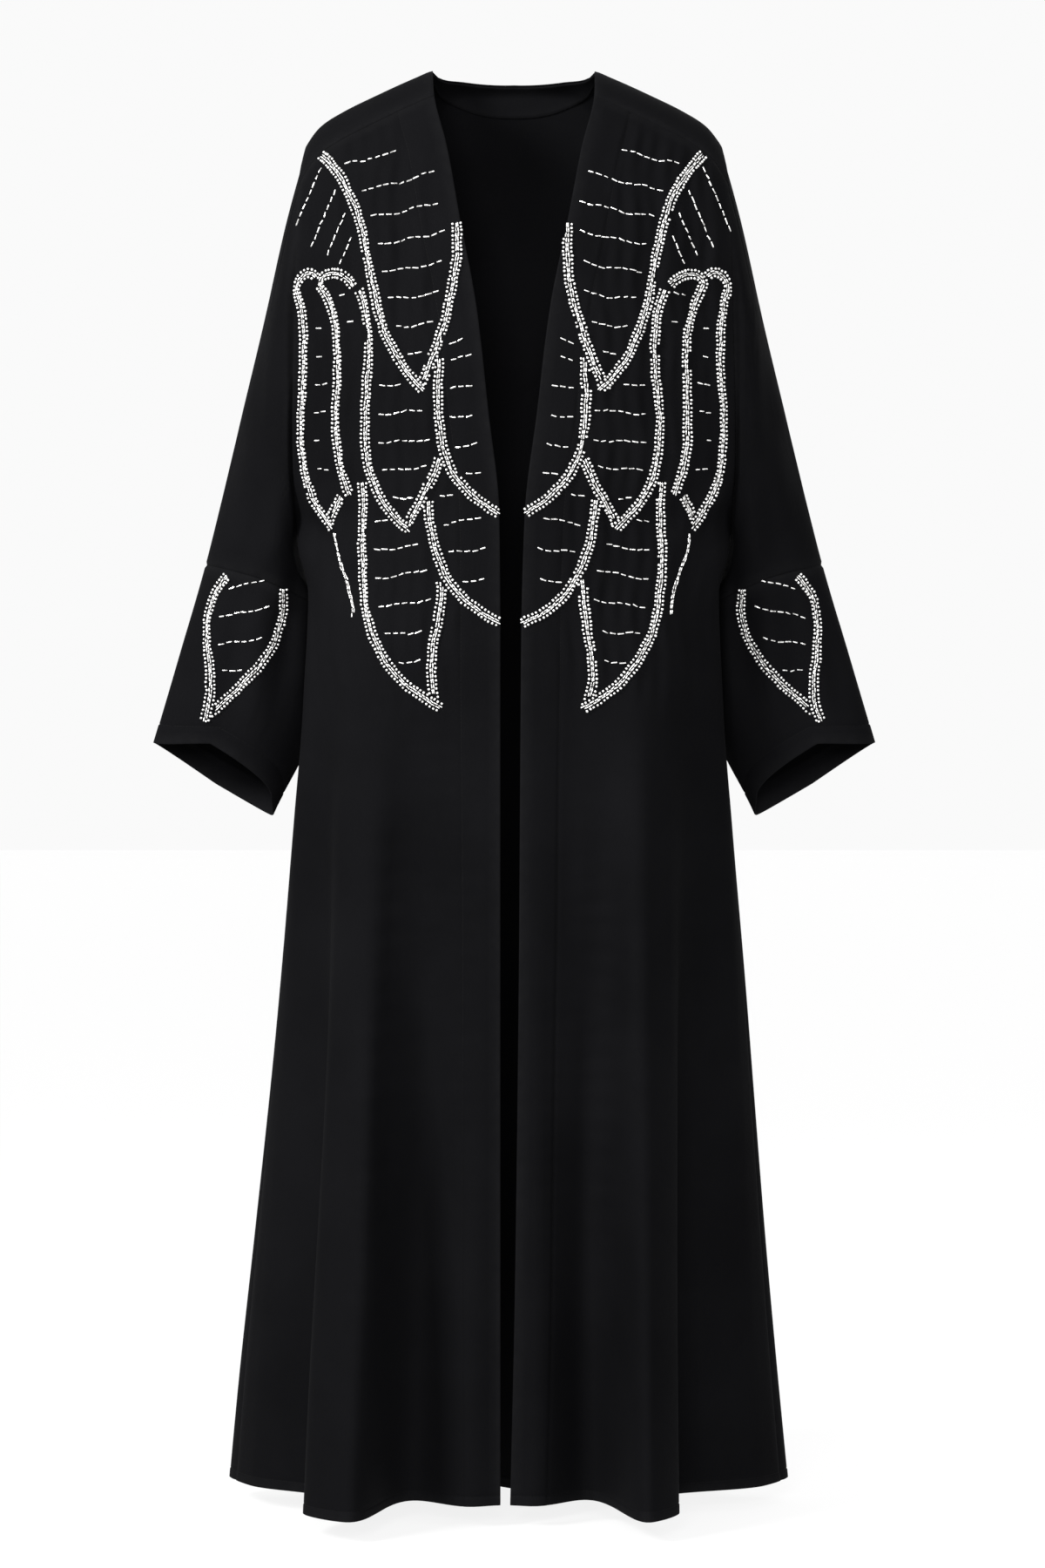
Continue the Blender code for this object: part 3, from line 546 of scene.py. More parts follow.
def puckers(points: np.ndarray, height: float, phase: float) -> np.ndarray:
    """The small upright ripples that rows of beads draw the chest's cloth into.

    Args:
        points: Distances from the middle and heights.
        height: The most that they rise.
        phase: What sets one front apart from the other.

    Returns:
        The rise at each point.
    """
    x, z = points[..., 0], points[..., 1]
    window = ease(z, -0.66, -0.58) * (1 - ease(z, -0.075, -0.045))
    window = window * ease(x, 0.018, 0.04) * (1 - ease(x, 0.19, 0.215))
    sway = 0.9 * np.sin(z / 0.017 + phase) + 1.3 * np.sin(z / 0.061 + 2.1 * phase)
    fine = np.sin(x / 0.0026 + sway) * (0.65 + 0.35 * np.sin(z / 0.0105 + 1.7 * phase + x / 0.02))
    broad = np.sin(x / 0.0065 + 0.6 * sway + phase)
    return height * window * (0.62 * fine + 0.55 * broad)


@dataclass
class BodyForm:
    """The surface that the back and the fronts lie on: the worn body shape with its hanging folds."""

    underarm: float = -0.454
    hem_front: float = -1.415
    hem_back: float = -1.436
    shoulder_rise: float = 0.090
    neck_rise: float = 0.018
    neck_reach: tuple[float, float] = (0.050, 0.135)
    shoulder_half: float = 0.205
    neck_half: float = 0.0810
    neck_back_depth: float = 0.060
    forward_seam: float = math.radians(52)
    fold_ease: float = 1.15
    centre_back_hem: tuple[float, float] = (0.0, 0.140)
    lower_rows: int = 132
    upper_rows: int = 50
    front_top_rows: int = 9
    back_top_rows: int = 13
    over_rows: int = 9
    hem_fold: float = 0.009
    hem_lift: float = 0.0004
    hem_row: int = 4
    stitch_groove: float = 0.0006
    seam_fade: float = 0.016
    seam_dip: float = 0.0014
    beside_seam: float = 0.972

    def __post_init__(self) -> None:
        """Reads the tables into curves, and finds where each fold lies round the hem."""
        self.curves = {name: Curve.of(BODY, "z", name) for name in Section._fields[1:]}
        self.edges = {name: Curve.of(OPENING, "z", name) for name in Edge._fields[1:]}
        self.ridge = Curve(np.array([x for x, _ in SHOULDER]), np.array([z for _, z in SHOULDER]))
        self.fold_places, self.fold_rows = self.places_of_folds()
        self.fold_pull = self.pull_of_folds()
        self.fold_tops = np.array([row.top for row in self.fold_rows])

    def half(self, side: Side, z: np.ndarray) -> np.ndarray:
        """Half-width of the body at a height."""
        return self.curves[side.word].at(z)

    def plain(
        self, side: Side, face: Face, theta: np.ndarray, z: np.ndarray, alpha: Optional[np.ndarray] = None
    ) -> np.ndarray:
        """Points of the body before its folds.

        Args:
            side: The wearer's side.
            face: Front or back.
            theta: 0 at the centre and a right angle at the side.
            z: Heights.
            alpha: The turn about the shoulder ridge, on the shoulder.

        Returns:
            The points.
        """
        depth, arm = self.curves[face.value].at(z), self.curves["arm_" + face.value].at(z)
        x = self.half(side, z) * np.sin(theta)
        y = arm + (depth - arm) * np.maximum(np.cos(theta), 0.0) ** self.curves["round"].at(z)
        if alpha is None:
            drop = np.clip((self.ridge.at(np.abs(x)) - z) / self.rise(face, x), 0.0, 1.0)
            y = y * np.sqrt(1 - (1 - drop) ** 2)
        else:
            y = y * np.sin(alpha)
        return np.stack([side.value * x, y if face is Face.BACK else -y, z], axis=-1)

    def rise(self, face: Face, x: np.ndarray) -> np.ndarray:
        """Height over which the body rounds into the ridge at a distance from the middle."""
        if face is Face.FRONT:
            return np.full_like(x, self.shoulder_rise)
        return self.neck_rise + (self.shoulder_rise - self.neck_rise) * ease(np.abs(x), *self.neck_reach)

    def spread(self, side: Side, face: Face, share: np.ndarray, z: np.ndarray) -> np.ndarray:
        """The angle of a column at a share of the way from its panel's centre edge to the side seam."""
        if face is Face.BACK:
            return share * QUARTER
        inner = np.arcsin(np.clip(self.edges[side.word].at(z) / self.half(side, z), -1.0, 1.0))
        return inner + share * (QUARTER - inner)

    def hem(self, face: Face, share: np.ndarray) -> np.ndarray:
        """Height of the hem, a little lower at the centre back."""
        if face is Face.FRONT:
            return np.full_like(share, self.hem_front)
        return self.hem_back + (self.hem_front - self.hem_back) * ease(share, 0.15, 1.0)

    def places_of_folds(self) -> tuple[np.ndarray, list[Fold]]:
        """Where each fold lies round the hem.

        Returns:
            Ring places, 0 at the centre back, 1 at a side seam and 2 at a front's edge, and their folds.
        """
        found: list[tuple[float, Fold]] = []
        for side in (-1, 1):
            rows = [row for row in FOLDS if row.side == side]
            rows.sort(key=lambda row: FOLDS.index(row) * -side)
            front = [row for row in rows if row.face == "front"]
            back = [row for row in rows if row.face == "back"]
            seam = (np.array(front[-1][2:4]) + np.array(back[0][2:4])) / 2
            centre = np.array(self.centre_back_hem)
            for group, ends in ((front, (None, seam)), (back, (seam, centre))):
                marks = (ends[0], *(np.array(row[2:4]) for row in group), ends[1])
                path = [p for p in marks if p is not None]
                steps = [float(np.linalg.norm(b - a)) for a, b in zip(path, path[1:])]
                run = np.concatenate([[0.0], np.cumsum(steps)]) / sum(steps)
                run = run[:-1] if ends[0] is None else run[1:-1]
                base = 2.0 if group is front else 1.0
                found += [(side * (base - r), row) for r, row in zip(run, group)]
        found.sort(key=lambda pair: pair[0])
        return np.array([place for place, _ in found]), [row for _, row in found]

    def pull_of_folds(self) -> np.ndarray:
        """How far each fold carries the hem from the plain body, in x and y."""
        pull = np.empty((len(self.fold_rows), 2))
        for i, (place, row) in enumerate(zip(self.fold_places, self.fold_rows)):
            side, face = Side(row.side), Face(row.face)
            share = np.array(abs(place) if face is Face.BACK else 2 - abs(place))
            height = self.hem(face, share)
            angle = self.spread(side, face, share, height)
            pull[i] = np.array([row.x, row.y]) - self.plain(side, face, angle, height)[:2]
        return pull

    def fold_shift(self, ring: np.ndarray, z: np.ndarray) -> np.ndarray:
        """How far the folds carry points.

        Args:
            ring: Ring places.
            z: Heights.

        Returns:
            The shifts in x and y.
        """
        places = self.fold_places
        reach = self.fold_tops - self.hem_front
        grown = np.clip((self.fold_tops - z[..., None]) / reach, 0.0, 1.1) ** self.fold_ease
        pulls = grown[..., None] * self.fold_pull
        step = np.diff(places)
        rise = np.diff(pulls, axis=-2) / step[:, None]
        tangent = np.zeros_like(pulls)
        ahead = (step[:-1] / (step[:-1] + step[1:]))[:, None]
        tangent[..., 1:-1, :] = rise[..., :-1, :] * (1 - ahead) + rise[..., 1:, :] * ahead
        ring = np.clip(ring, places[0], places[-1])
        i = np.clip(np.searchsorted(places, ring, side="right") - 1, 0, len(places) - 2)
        t = ((ring - places[i]) / step[i])[..., None]

        def pick(values: np.ndarray, at: np.ndarray) -> np.ndarray:
            """The values at one fold for each point."""
            return np.take_along_axis(values, at[..., None, None], axis=-2)[..., 0, :]

        start, end = pick(pulls, i), pick(pulls, i + 1)
        out, into = pick(tangent, i) * step[i][..., None], pick(tangent, i + 1) * step[i][..., None]
        bend = 3 * (end - start) - 2 * out - into
        return start + t * (out + t * (bend + t * (out + into - 2 * (end - start))))

    def point(self, side: Side, face: Face, share: np.ndarray, z: np.ndarray) -> np.ndarray:
        """Points of the body with its folds, at shares of a panel's width and heights."""
        share, z = np.broadcast_arrays(np.asarray(share, float), np.asarray(z, float))
        found = self.plain(side, face, self.spread(side, face, share, z), z)
        ring = side.value * (share if face is Face.BACK else 2 - share)
        found[..., :2] += self.fold_shift(ring, z)
        return found

    def neck_share(self) -> float:
        """Share of the back's half-width at which the neck point lies."""
        return math.asin(self.neck_half / self.shoulder_half) / QUARTER

    def neckline_angle(self, theta: np.ndarray) -> np.ndarray:
        """How near the ridge the back reaches: up to it outside the neck, short of it across the neck."""
        across = np.clip(theta / math.asin(self.neck_half / self.shoulder_half), 0.0, 1.0)
        lowest = math.asin(self.neck_back_depth / BODY[0].back)
        return lowest * np.sqrt(np.clip(1 - across**2, 0.0, 1.0))

    def shoulder_row(
        self, side: Side, face: Face, share: np.ndarray, alpha: np.ndarray, z: np.ndarray
    ) -> np.ndarray:
        """One row on the rounded shoulder.

        Args:
            side: The wearer's side.
            face: Front or back.
            share: Shares of the panel's width.
            alpha: The turn about the ridge.
            z: Heights to start from.

        Returns:
            The row's points.
        """
        for _ in range(8):
            x = self.plain(side, face, self.spread(side, face, share, z), z, alpha)[..., 0]
            z = self.ridge.at(np.abs(x)) - self.rise(face, x) * (1 - np.cos(alpha))
        return self.plain(side, face, self.spread(side, face, share, z), z, alpha)

    def lower_steps(self) -> np.ndarray:
        """Shares of the way from the hem to the underarm, with close rows at the hem's stitching."""
        tall = self.underarm - self.hem_front
        fold = self.hem_fold
        stitched = np.array((0.0, 0.0025, 0.0055, fold - 0.0012, fold, fold + 0.0012))
        return np.concatenate([stitched / tall, np.linspace(0.0145 / tall, 1.0, self.lower_rows)])

    def hem_rise(self, below: np.ndarray) -> np.ndarray:
        """How far the doubled hem stands out at heights above its edge."""
        return self.hem_lift * (1 - ease(below, self.hem_fold - 0.001, self.hem_fold + 0.0005))

    def rows(self, side: Side, face: Face, share: np.ndarray) -> np.ndarray:
        """Rows of points from the hem to the shoulder seam.

        Args:
            side: The wearer's side.
            face: Front or back.
            share: Shares of the panel's width, one for each column.

        Returns:
            Rows x columns x 3.
        """
        hem = self.hem(face, share)
        made = [self.point(side, face, share, hem + (self.underarm - hem) * k) for k in self.lower_steps()]
        start = np.full_like(share, self.underarm)
        top = start
        for _ in range(6):
            x = self.point(side, face, share, top)[..., 0]
            top = self.ridge.at(np.abs(x)) - self.rise(face, x)
        for k in np.linspace(0.0, 1.0, self.upper_rows + 1)[1:]:
            made.append(self.point(side, face, share, start + (top - start) * k))
        count = self.back_top_rows if face is Face.BACK else self.front_top_rows
        full = np.full_like(share, self.forward_seam)
        last = self.neckline_angle(share * QUARTER) if face is Face.BACK else full
        for k in self.steps_to_seam(count):
            made.append(self.shoulder_row(side, face, share, QUARTER + (last - QUARTER) * k, top))
        if face is Face.BACK:
            neck = self.neck_share()
            over = np.clip((share - neck) / (1 - neck), 0.0, 1.0)
            for k in self.steps_to_seam(self.over_rows):
                made.append(self.shoulder_row(side, Face.FRONT, over, full * k, top))
        return np.array(made)

    def steps_to_seam(self, count: int) -> np.ndarray:
        """Shares of the way to a seam, with a close row beside it for the seam's groove."""
        return np.concatenate([np.linspace(0.0, 1.0, count + 1)[1:-1], [self.beside_seam, 1.0]])

    @property
    def below_arm(self) -> int:
        """The row at the underarm."""
        return len(self.lower_steps()) - 1


class NodeTree:
    """A material's nodes, laid out from left to right as they are added."""

    def __init__(self, name: str) -> None:
        """Makes an empty material with its output and main shader."""
        self.material = bpy.data.materials.new(name)
        self.material.use_nodes = True
        self.tree = self.material.node_tree
        self.shader = self.tree.nodes["Principled BSDF"]
        self.count = 0

    def add(self, kind: str, **settings: object) -> bpy.types.Node:
        """Adds a node.

        Args:
            kind: Its type, without the leading ShaderNode.
            settings: Attributes of the node, or values of its inputs by name with _ for a space.

        Returns:
            The node.
        """
        node = self.tree.nodes.new("ShaderNode" + kind)
        node.location = (-1500 + 190 * (self.count % 7), 400 - 260 * (self.count // 7))
        self.count += 1
        for key, value in settings.items():
            if hasattr(node, key):
                setattr(node, key, value)
            else:
                node.inputs[key.replace("_", " ")].default_value = value
        return node

    def link(self, source: bpy.types.NodeSocket, node: bpy.types.Node, name: str) -> None:
        """Links an output to a node's input by name."""
        self.tree.links.new(source, node.inputs[name])

    def set(self, **values: object) -> None:
        """Sets the main shader's own sockets, with _ for a space."""
        for key, value in values.items():
            self.shader.inputs[key.replace("_", " ")].default_value = value

    def object_place(self, scale: tuple[float, float, float] = (1.0, 1.0, 1.0)) -> bpy.types.NodeSocket:
        """The place on the object in metres, stretched along its axes."""
        place = self.add("TexCoord").outputs["Object"]
        mapping = self.add("Mapping")
        mapping.inputs["Scale"].default_value = scale
        self.link(place, mapping, "Vector")
        return mapping.outputs["Vector"]


    def texture(self, kind: str, place: bpy.types.NodeSocket, **settings: object) -> bpy.types.NodeSocket:
        """The strength of a texture at a place.

        Args:
            kind: Its type, without the leading ShaderNodeTex.
            place: The place.
            settings: As for add.

        Returns:
            The strength.
        """
        node = self.add("Tex" + kind, **settings)
        self.link(place, node, "Vector")
        return node.outputs["Fac"]

    def ramp(
        self, source: bpy.types.NodeSocket, low: Sequence[float], high: Sequence[float],
        start: float = 0.0, end: float = 1.0,
    ) -> bpy.types.NodeSocket:
        """A colour that passes from one to another.

        Args:
            source: What it depends on.
            low: The colour up to start.
            high: The colour from end.
            start: Where the first one stops.
            end: Where the second one begins.

        Returns:
            The colour.
        """
        node = self.add("ValToRGB")
        elements = node.color_ramp.elements
        elements[0].position, elements[1].position = start, end
        elements[0].color, elements[1].color = (*low, 1.0), (*high, 1.0)
        self.link(source, node, "Fac")
        return node.outputs["Color"]

    def roughness(self, source: bpy.types.NodeSocket, low: float, high: float) -> None:
        """Lets the shader's roughness pass from one value to another with a texture's strength."""
        node = self.add("MapRange", From_Min=0.3, From_Max=0.7, To_Min=low, To_Max=high)
        self.link(source, node, "Value")
        self.link(node.outputs["Result"], self.shader, "Roughness")

    def bump(self, source: bpy.types.NodeSocket, strength: float, distance: float) -> None:
        """Lets the shader's surface rise and fall with a texture's strength."""
        node = self.add("Bump", Strength=strength, Distance=distance)
        self.link(source, node, "Height")
        self.link(node.outputs["Normal"], self.shader, "Normal")


@dataclass(frozen=True)
class Crepe:
    """Matt black crepe: a pebbled weave, uneven dye and edges rubbed a little grey."""

    name: str
    dark: tuple[float, float, float] = (0.0019, 0.0019, 0.0022)
    light: tuple[float, float, float] = (0.0027, 0.0027, 0.0031)
    rubbed: tuple[float, float, float] = (0.0046, 0.0046, 0.0050)
    sheen: float = 0.002
    grain_height: float = 0.00022

    def material(self) -> bpy.types.Material:
        """The finish as a material."""
        nodes = NodeTree(self.name)
        place = nodes.object_place()
        dye = nodes.texture("Noise", place, Scale=6.0, Detail=4.0, Roughness=0.55)
        colour = nodes.ramp(dye, self.dark, self.light, 0.35, 0.68)
        wear = nodes.add("Attribute", attribute_name="edge_wear")
        amount = nodes.add("Math", operation="MULTIPLY")
        nodes.link(wear.outputs["Fac"], amount, 0)
        nodes.link(nodes.texture("Noise", place, Scale=90.0, Detail=3.0, Roughness=0.6), amount, 1)
        mix = nodes.add("MixRGB")
        mix.inputs["Color2"].default_value = (*self.rubbed, 1.0)
        nodes.link(amount.outputs["Value"], mix, "Fac")
        nodes.link(colour, mix, "Color1")
        nodes.link(mix.outputs["Color"], nodes.shader, "Base Color")
        squat = nodes.object_place((1.0, 1.0, 0.55))
        pebble = nodes.texture("Noise", squat, Scale=620.0, Detail=3.0, Roughness=0.62, Distortion=0.6)
        bands = {"wave_type": "BANDS", "bands_direction": "Z", "Scale": 420.0}
        thread = nodes.texture("Wave", place, **bands, Distortion=2.4, Detail=1.0)
        weave = nodes.add("Math", operation="MULTIPLY_ADD")
        weave.inputs[1].default_value = 0.35
        nodes.link(thread, weave, 0)
        nodes.link(pebble, weave, 2)
        nodes.bump(weave.outputs["Value"], 0.55, self.grain_height)
        nodes.roughness(pebble, 0.74, 0.90)
        nodes.set(Sheen_Weight=self.sheen, Sheen_Roughness=0.42, Specular_IOR_Level=0.015)
        nodes.set(Sheen_Tint=(0.62, 0.63, 0.68, 1.0))
        return nodes.material


@dataclass(frozen=True)
class SilverBead:
    """Silver-lined glass beads: bright, with a little tarnish from bead to bead."""

    name: str
    bright: tuple[float, float, float] = (0.84, 0.835, 0.82)
    dull: tuple[float, float, float] = (0.36, 0.355, 0.345)
    bead_scale: float = 330.0

    def material(self) -> bpy.types.Material:
        """The finish as a material."""
        nodes = NodeTree(self.name)
        place = nodes.object_place()
        tone = nodes.texture("Noise", place, Scale=self.bead_scale, Detail=0.0)
        nodes.link(nodes.ramp(tone, self.dull, self.bright, 0.30, 0.52), nodes.shader, "Base Color")
        nodes.roughness(tone, 0.38, 0.18)
        nodes.bump(nodes.texture("Noise", place, Scale=2600.0, Detail=2.0), 0.25, 0.00008)
        nodes.set(Metallic=0.55, Specular_IOR_Level=0.7, Coat_Weight=0.5, Coat_Roughness=0.12)
        return nodes.material


@dataclass(frozen=True)
class Thread:
    """Black sewing thread with a twist, its colour painted darker in the twist's grooves and lighter on its
    ridges as painted shade and highlight.
    """

    name: str
    colour: tuple[float, float, float] = (0.0020, 0.0020, 0.0022)

    def material(self) -> bpy.types.Material:
        """The finish as a material."""
        nodes = NodeTree(self.name)
        bands = {"wave_type": "BANDS", "bands_direction": "DIAGONAL", "Scale": 900.0}
        twist = nodes.texture("Wave", nodes.object_place(), **bands, Distortion=0.4)
        # Painted shade and highlight: the twist's bands take the colour down to half in the grooves and up to
        # 1.6 times on the ridges that the bump raises.
        dark, light = ([share * c for c in self.colour] for share in (0.5, 1.6))
        nodes.link(nodes.ramp(twist, dark, light), nodes.shader, "Base Color")
        nodes.bump(twist, 0.4, 0.0001)
        nodes.set(Roughness=0.75, Specular_IOR_Level=0.06)
        return nodes.material


@dataclass(frozen=True)
class PaleFloor:
    """A plain pale floor with a faint mottle."""

    name: str
    colour: tuple[float, float, float] = (0.10, 0.10, 0.10)
    glow: float = 0.855

    def material(self) -> bpy.types.Material:
        """The finish as a material."""
        nodes = NodeTree(self.name)
        mottle = nodes.texture("Noise", nodes.object_place(), Scale=2.0, Detail=3.0)
        darker = [0.985 * c for c in self.colour]
        nodes.link(nodes.ramp(mottle, darker, self.colour), nodes.shader, "Base Color")
        nodes.set(Roughness=0.85, Specular_IOR_Level=0.1, Emission_Color=(1.0, 1.0, 1.0, 1.0))
        nodes.set(Emission_Strength=self.glow)
        return nodes.material


@dataclass
class Finishes:
    """The garment's finishes, each made once."""

    crepe: Crepe = Crepe("Black_crepe")
    # The facing's crepe is a lighter copy of the black crepe: painted light that makes up for the shade
    # inside the back neck.
    facing: Crepe = Crepe("Facing_crepe", (0.0025, 0.0025, 0.0029), (0.0034, 0.0034, 0.0038))
    beads: SilverBead = SilverBead("Silver_beads")
    thread: Thread = Thread("Black_thread")
    made: dict[str, bpy.types.Material] = field(default_factory=dict)

    def of(self, finish: Crepe | SilverBead | Thread) -> bpy.types.Material:
        """The finish's material."""
        if finish.name not in self.made:
            self.made[finish.name] = finish.material()
        return self.made[finish.name]


def piece(
    name: str, points: np.ndarray, faces: Sequence[Sequence[int]], finish: bpy.types.Material, sharp: float
) -> bpy.types.Object:
    """An object that rides on the garment.

    Args:
        name: The piece's name.
        points: Its vertices.
        faces: Its faces.
        finish: Its material.
        sharp: The angle in degrees above which an edge is sharp.

    Returns:
        The object.
    """
    mesh = bpy.data.meshes.new(name)
    mesh.from_pydata(points.tolist(), [], [tuple(face) for face in faces])
    mesh.materials.append(finish)
    mesh.shade_smooth()
    mesh.set_sharp_from_angle(angle=math.radians(sharp))
    made = bpy.data.objects.new(name, mesh)
    bpy.context.scene.collection.objects.link(made)
    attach(made, "root")
    return made


@dataclass
class Sheet:
    """A panel of cloth as a thin shell with softly rounded edges."""

    name: str
    outer: np.ndarray
    normals: np.ndarray
    closed: bool = False
    keep: Optional[np.ndarray] = None
    wall: float = 0.0011
    edge_swell: float = 0.30
    wear_reach: float = 0.012

    def cells(self) -> np.ndarray:
        """The cells that are cloth, as the four corners of each."""
        corners = cells_of(*self.outer.shape[:2], self.closed, self.keep)
        sample = self.outer.reshape(-1, 3)[corners]
        turn = np.cross(sample[:, 1] - sample[:, 0], sample[:, 3] - sample[:, 0])
        outward = (turn * self.normals.reshape(-1, 3)[corners[:, 0]]).sum()
        return corners if outward > 0 else corners[:, ::-1]

    def borders(self, cells: np.ndarray) -> np.ndarray:
        """The edges that only one cell has, in that cell's direction."""
        ends = np.concatenate([cells[:, [k, (k + 1) % 4]] for k in range(4)])
        size = int(cells.max()) + 1
        code, back = ends[:, 0] * size + ends[:, 1], ends[:, 1] * size + ends[:, 0]
        return ends[~np.isin(code, back)]

    def build(self, finish: bpy.types.Material) -> bpy.types.Object:
        """Makes the shell.

        Args:
            finish: The cloth's material.

        Returns:
            The object.
        """
        cells = self.cells()
        edges = self.borders(cells)
        outer = self.outer.reshape(-1, 3)
        normals = self.normals.reshape(-1, 3)
        count = len(outer)
        away = np.zeros_like(outer)
        step = outer[edges[:, 1]] - outer[edges[:, 0]]
        out = unit(np.cross(step, normals[edges[:, 0]]))
        for k in (0, 1):
            np.add.at(away, edges[:, k], out)
        rim = outer - normals * (self.wall / 2) + unit(away) * (self.wall * self.edge_swell)
        points = np.concatenate([outer, outer - normals * self.wall, rim])
        a, b = edges[:, 0], edges[:, 1]
        faces = np.concatenate(
            [
                cells,
                cells[:, ::-1] + count,
                np.stack([b, a, a + 2 * count, b + 2 * count], axis=-1),
                np.stack([b + 2 * count, a + 2 * count, a + count, b + count], axis=-1),
            ]
        )
        used, index = np.unique(faces, return_inverse=True)
        made = piece(self.name, points[used], index.reshape(faces.shape), finish, 75.0)
        self.wear(made, outer[np.unique(edges)])
        return made

    def wear(self, made: bpy.types.Object, edge: np.ndarray) -> None:
        """Marks how near each point lies to the cloth's edge, for the rubbed colour."""
        tree = BVHTree.FromPolygons([tuple(p) for p in edge], [(i, i, i) for i in range(len(edge))])
        layer = made.data.attributes.new("edge_wear", "FLOAT", "POINT")
        values = []
        for vertex in made.data.vertices:
            near = tree.find_nearest(vertex.co, self.wear_reach)
            values.append(0.0 if near[0] is None else 1.0 - near[3] / self.wear_reach)
        layer.data.foreach_set("value", values)


@dataclass
class Garment:
    """What the pieces share: the body's form, the finishes, and the count of triangles."""

    form: BodyForm = field(default_factory=BodyForm)
    finishes: Finishes = field(default_factory=Finishes)
    triangles: int = 0

    def note(self, made: bpy.types.Object) -> bpy.types.Object:
        """Logs a finished piece."""
        count = sum(len(face.vertices) - 2 for face in made.data.polygons)
        self.triangles += count
        LOG.info("%s: %d triangles", made.name, count)
        return made

    def lay(
        self, sheet: Sheet, node: str, flat: tuple[float, float], area: float,
        finish: Optional[Crepe] = None, slot: Slot = Slot.CREPE,
    ) -> bpy.types.Object:
        """Makes a sheet of cloth in place of its solid.

        Args:
            sheet: The sheet.
            node: The solid that it stands for.
            flat: The width and length of its cut; not used.
            area: The area of its cut; not used.
            finish: Its finish, or the crepe.
            slot: Its material slot; not used.

        Returns:
            The object.
        """
        made = sheet.build(self.finishes.of(finish or self.finishes.crepe))
        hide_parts(node)
        return self.note(made)

    def sew_on(self, tray: Tray, name: str, node: Optional[str] = None) -> bpy.types.Object:
        """Makes one piece of a tray of beads, in place of a solid if one is named."""
        made = tray.build(name, self.finishes.of(self.finishes.beads))
        if node is not None:
            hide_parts(node)
        return self.note(made)


def surface_tree(grid: np.ndarray, closed: bool = False) -> BVHTree:
    """A search tree over a grid of points.

    Args:
        grid: Rows x columns x 3.
        closed: Whether the last column meets the first.

    Returns:
        The tree.
    """
    corners = cells_of(*grid.shape[:2], closed)
    return BVHTree.FromPolygons(grid.reshape(-1, 3).tolist(), corners.tolist())


@dataclass
class FrontPanel:
    """A front: cut to the opening's edge, with a stitched facing strip, a narrow hem and soft creases."""

    garment: Garment
    side: Side
    columns: int = 118
    strip: float = 0.038
    strip_column: int = 8
    strip_lift: float = 0.0003
    unevenness: float = 0.0012
    pucker: float = 0.0015
    flat: tuple[float, float] = (0.56, 1.43)
    area: float = 0.44

    def edge_distances(self, total: float) -> np.ndarray:
        """Distances of the columns from the front edge, close together at the strip's stitching."""
        strip = self.strip
        plain = (0.0, 0.0015, 0.006, 0.013, 0.020, 0.027, 0.033)
        near = np.array((*plain, strip - 0.0013, strip, strip + 0.0013))
        return np.concatenate([near, np.linspace(strip + 0.0055, total - 0.0025, self.columns), [total]])

    def grid(self) -> np.ndarray:
        """The panel's points before its creases, with columns at set distances from the front edge."""
        dense = self.garment.form.rows(self.side, Face.FRONT, np.linspace(0.0, 1.0, 260))
        rows = []
        for line in dense:
            run = run_along(line)
            rows.append(read_at(self.edge_distances(run[-1]), run, line))
        return np.array(rows)

    def build(self) -> None:
        """Lays the creases, stitching grooves and hem into the panel."""
        form = self.garment.form
        grid = self.grid()
        axis = grid.mean(axis=(0, 1)) * UPRIGHT + BEHIND
        normals = normals_of(grid, axis)
        places = np.stack([self.side.value * grid[..., 0], grid[..., 2]], axis=-1)
        rise = relief(places, FRONT_CREASES[self.side])
        rise += waviness(grid, self.unevenness, 5 + self.side.value)
        rise += puckers(places, self.pucker, 1.3 + 0.8 * self.side.value)
        run = np.array([run_along(line) for line in grid])
        below = grid[:, :, 2] - form.hem_front
        top = np.linalg.norm(grid - grid[-1:], axis=-1)
        rise *= ease(run[:, -1:] - run, 0.0, form.seam_fade) * ease(top, 0.0, form.seam_fade)
        rise *= 0.35 + 0.65 * ease(run, 0.0, self.strip)
        rise += self.strip_lift * (1 - ease(run, self.strip - 0.001, self.strip + 0.001))
        rise[:, self.strip_column] -= form.stitch_groove
        rise += form.hem_rise(below)
        rise[form.hem_row] -= form.stitch_groove
        rise[:, -1] -= form.seam_dip
        rise[-1] -= form.seam_dip
        self.points = grid + normals * rise[..., None]
        self.normals = normals_of(self.points, axis)
        self.tree = surface_tree(self.points)

    def dress(self) -> bpy.types.Object:
        """Makes the cloth in place of its solid."""
        sheet = Sheet("front_panel_" + self.side.word, self.points, self.normals)
        return self.garment.lay(sheet, "front_" + self.side.word, self.flat, self.area)


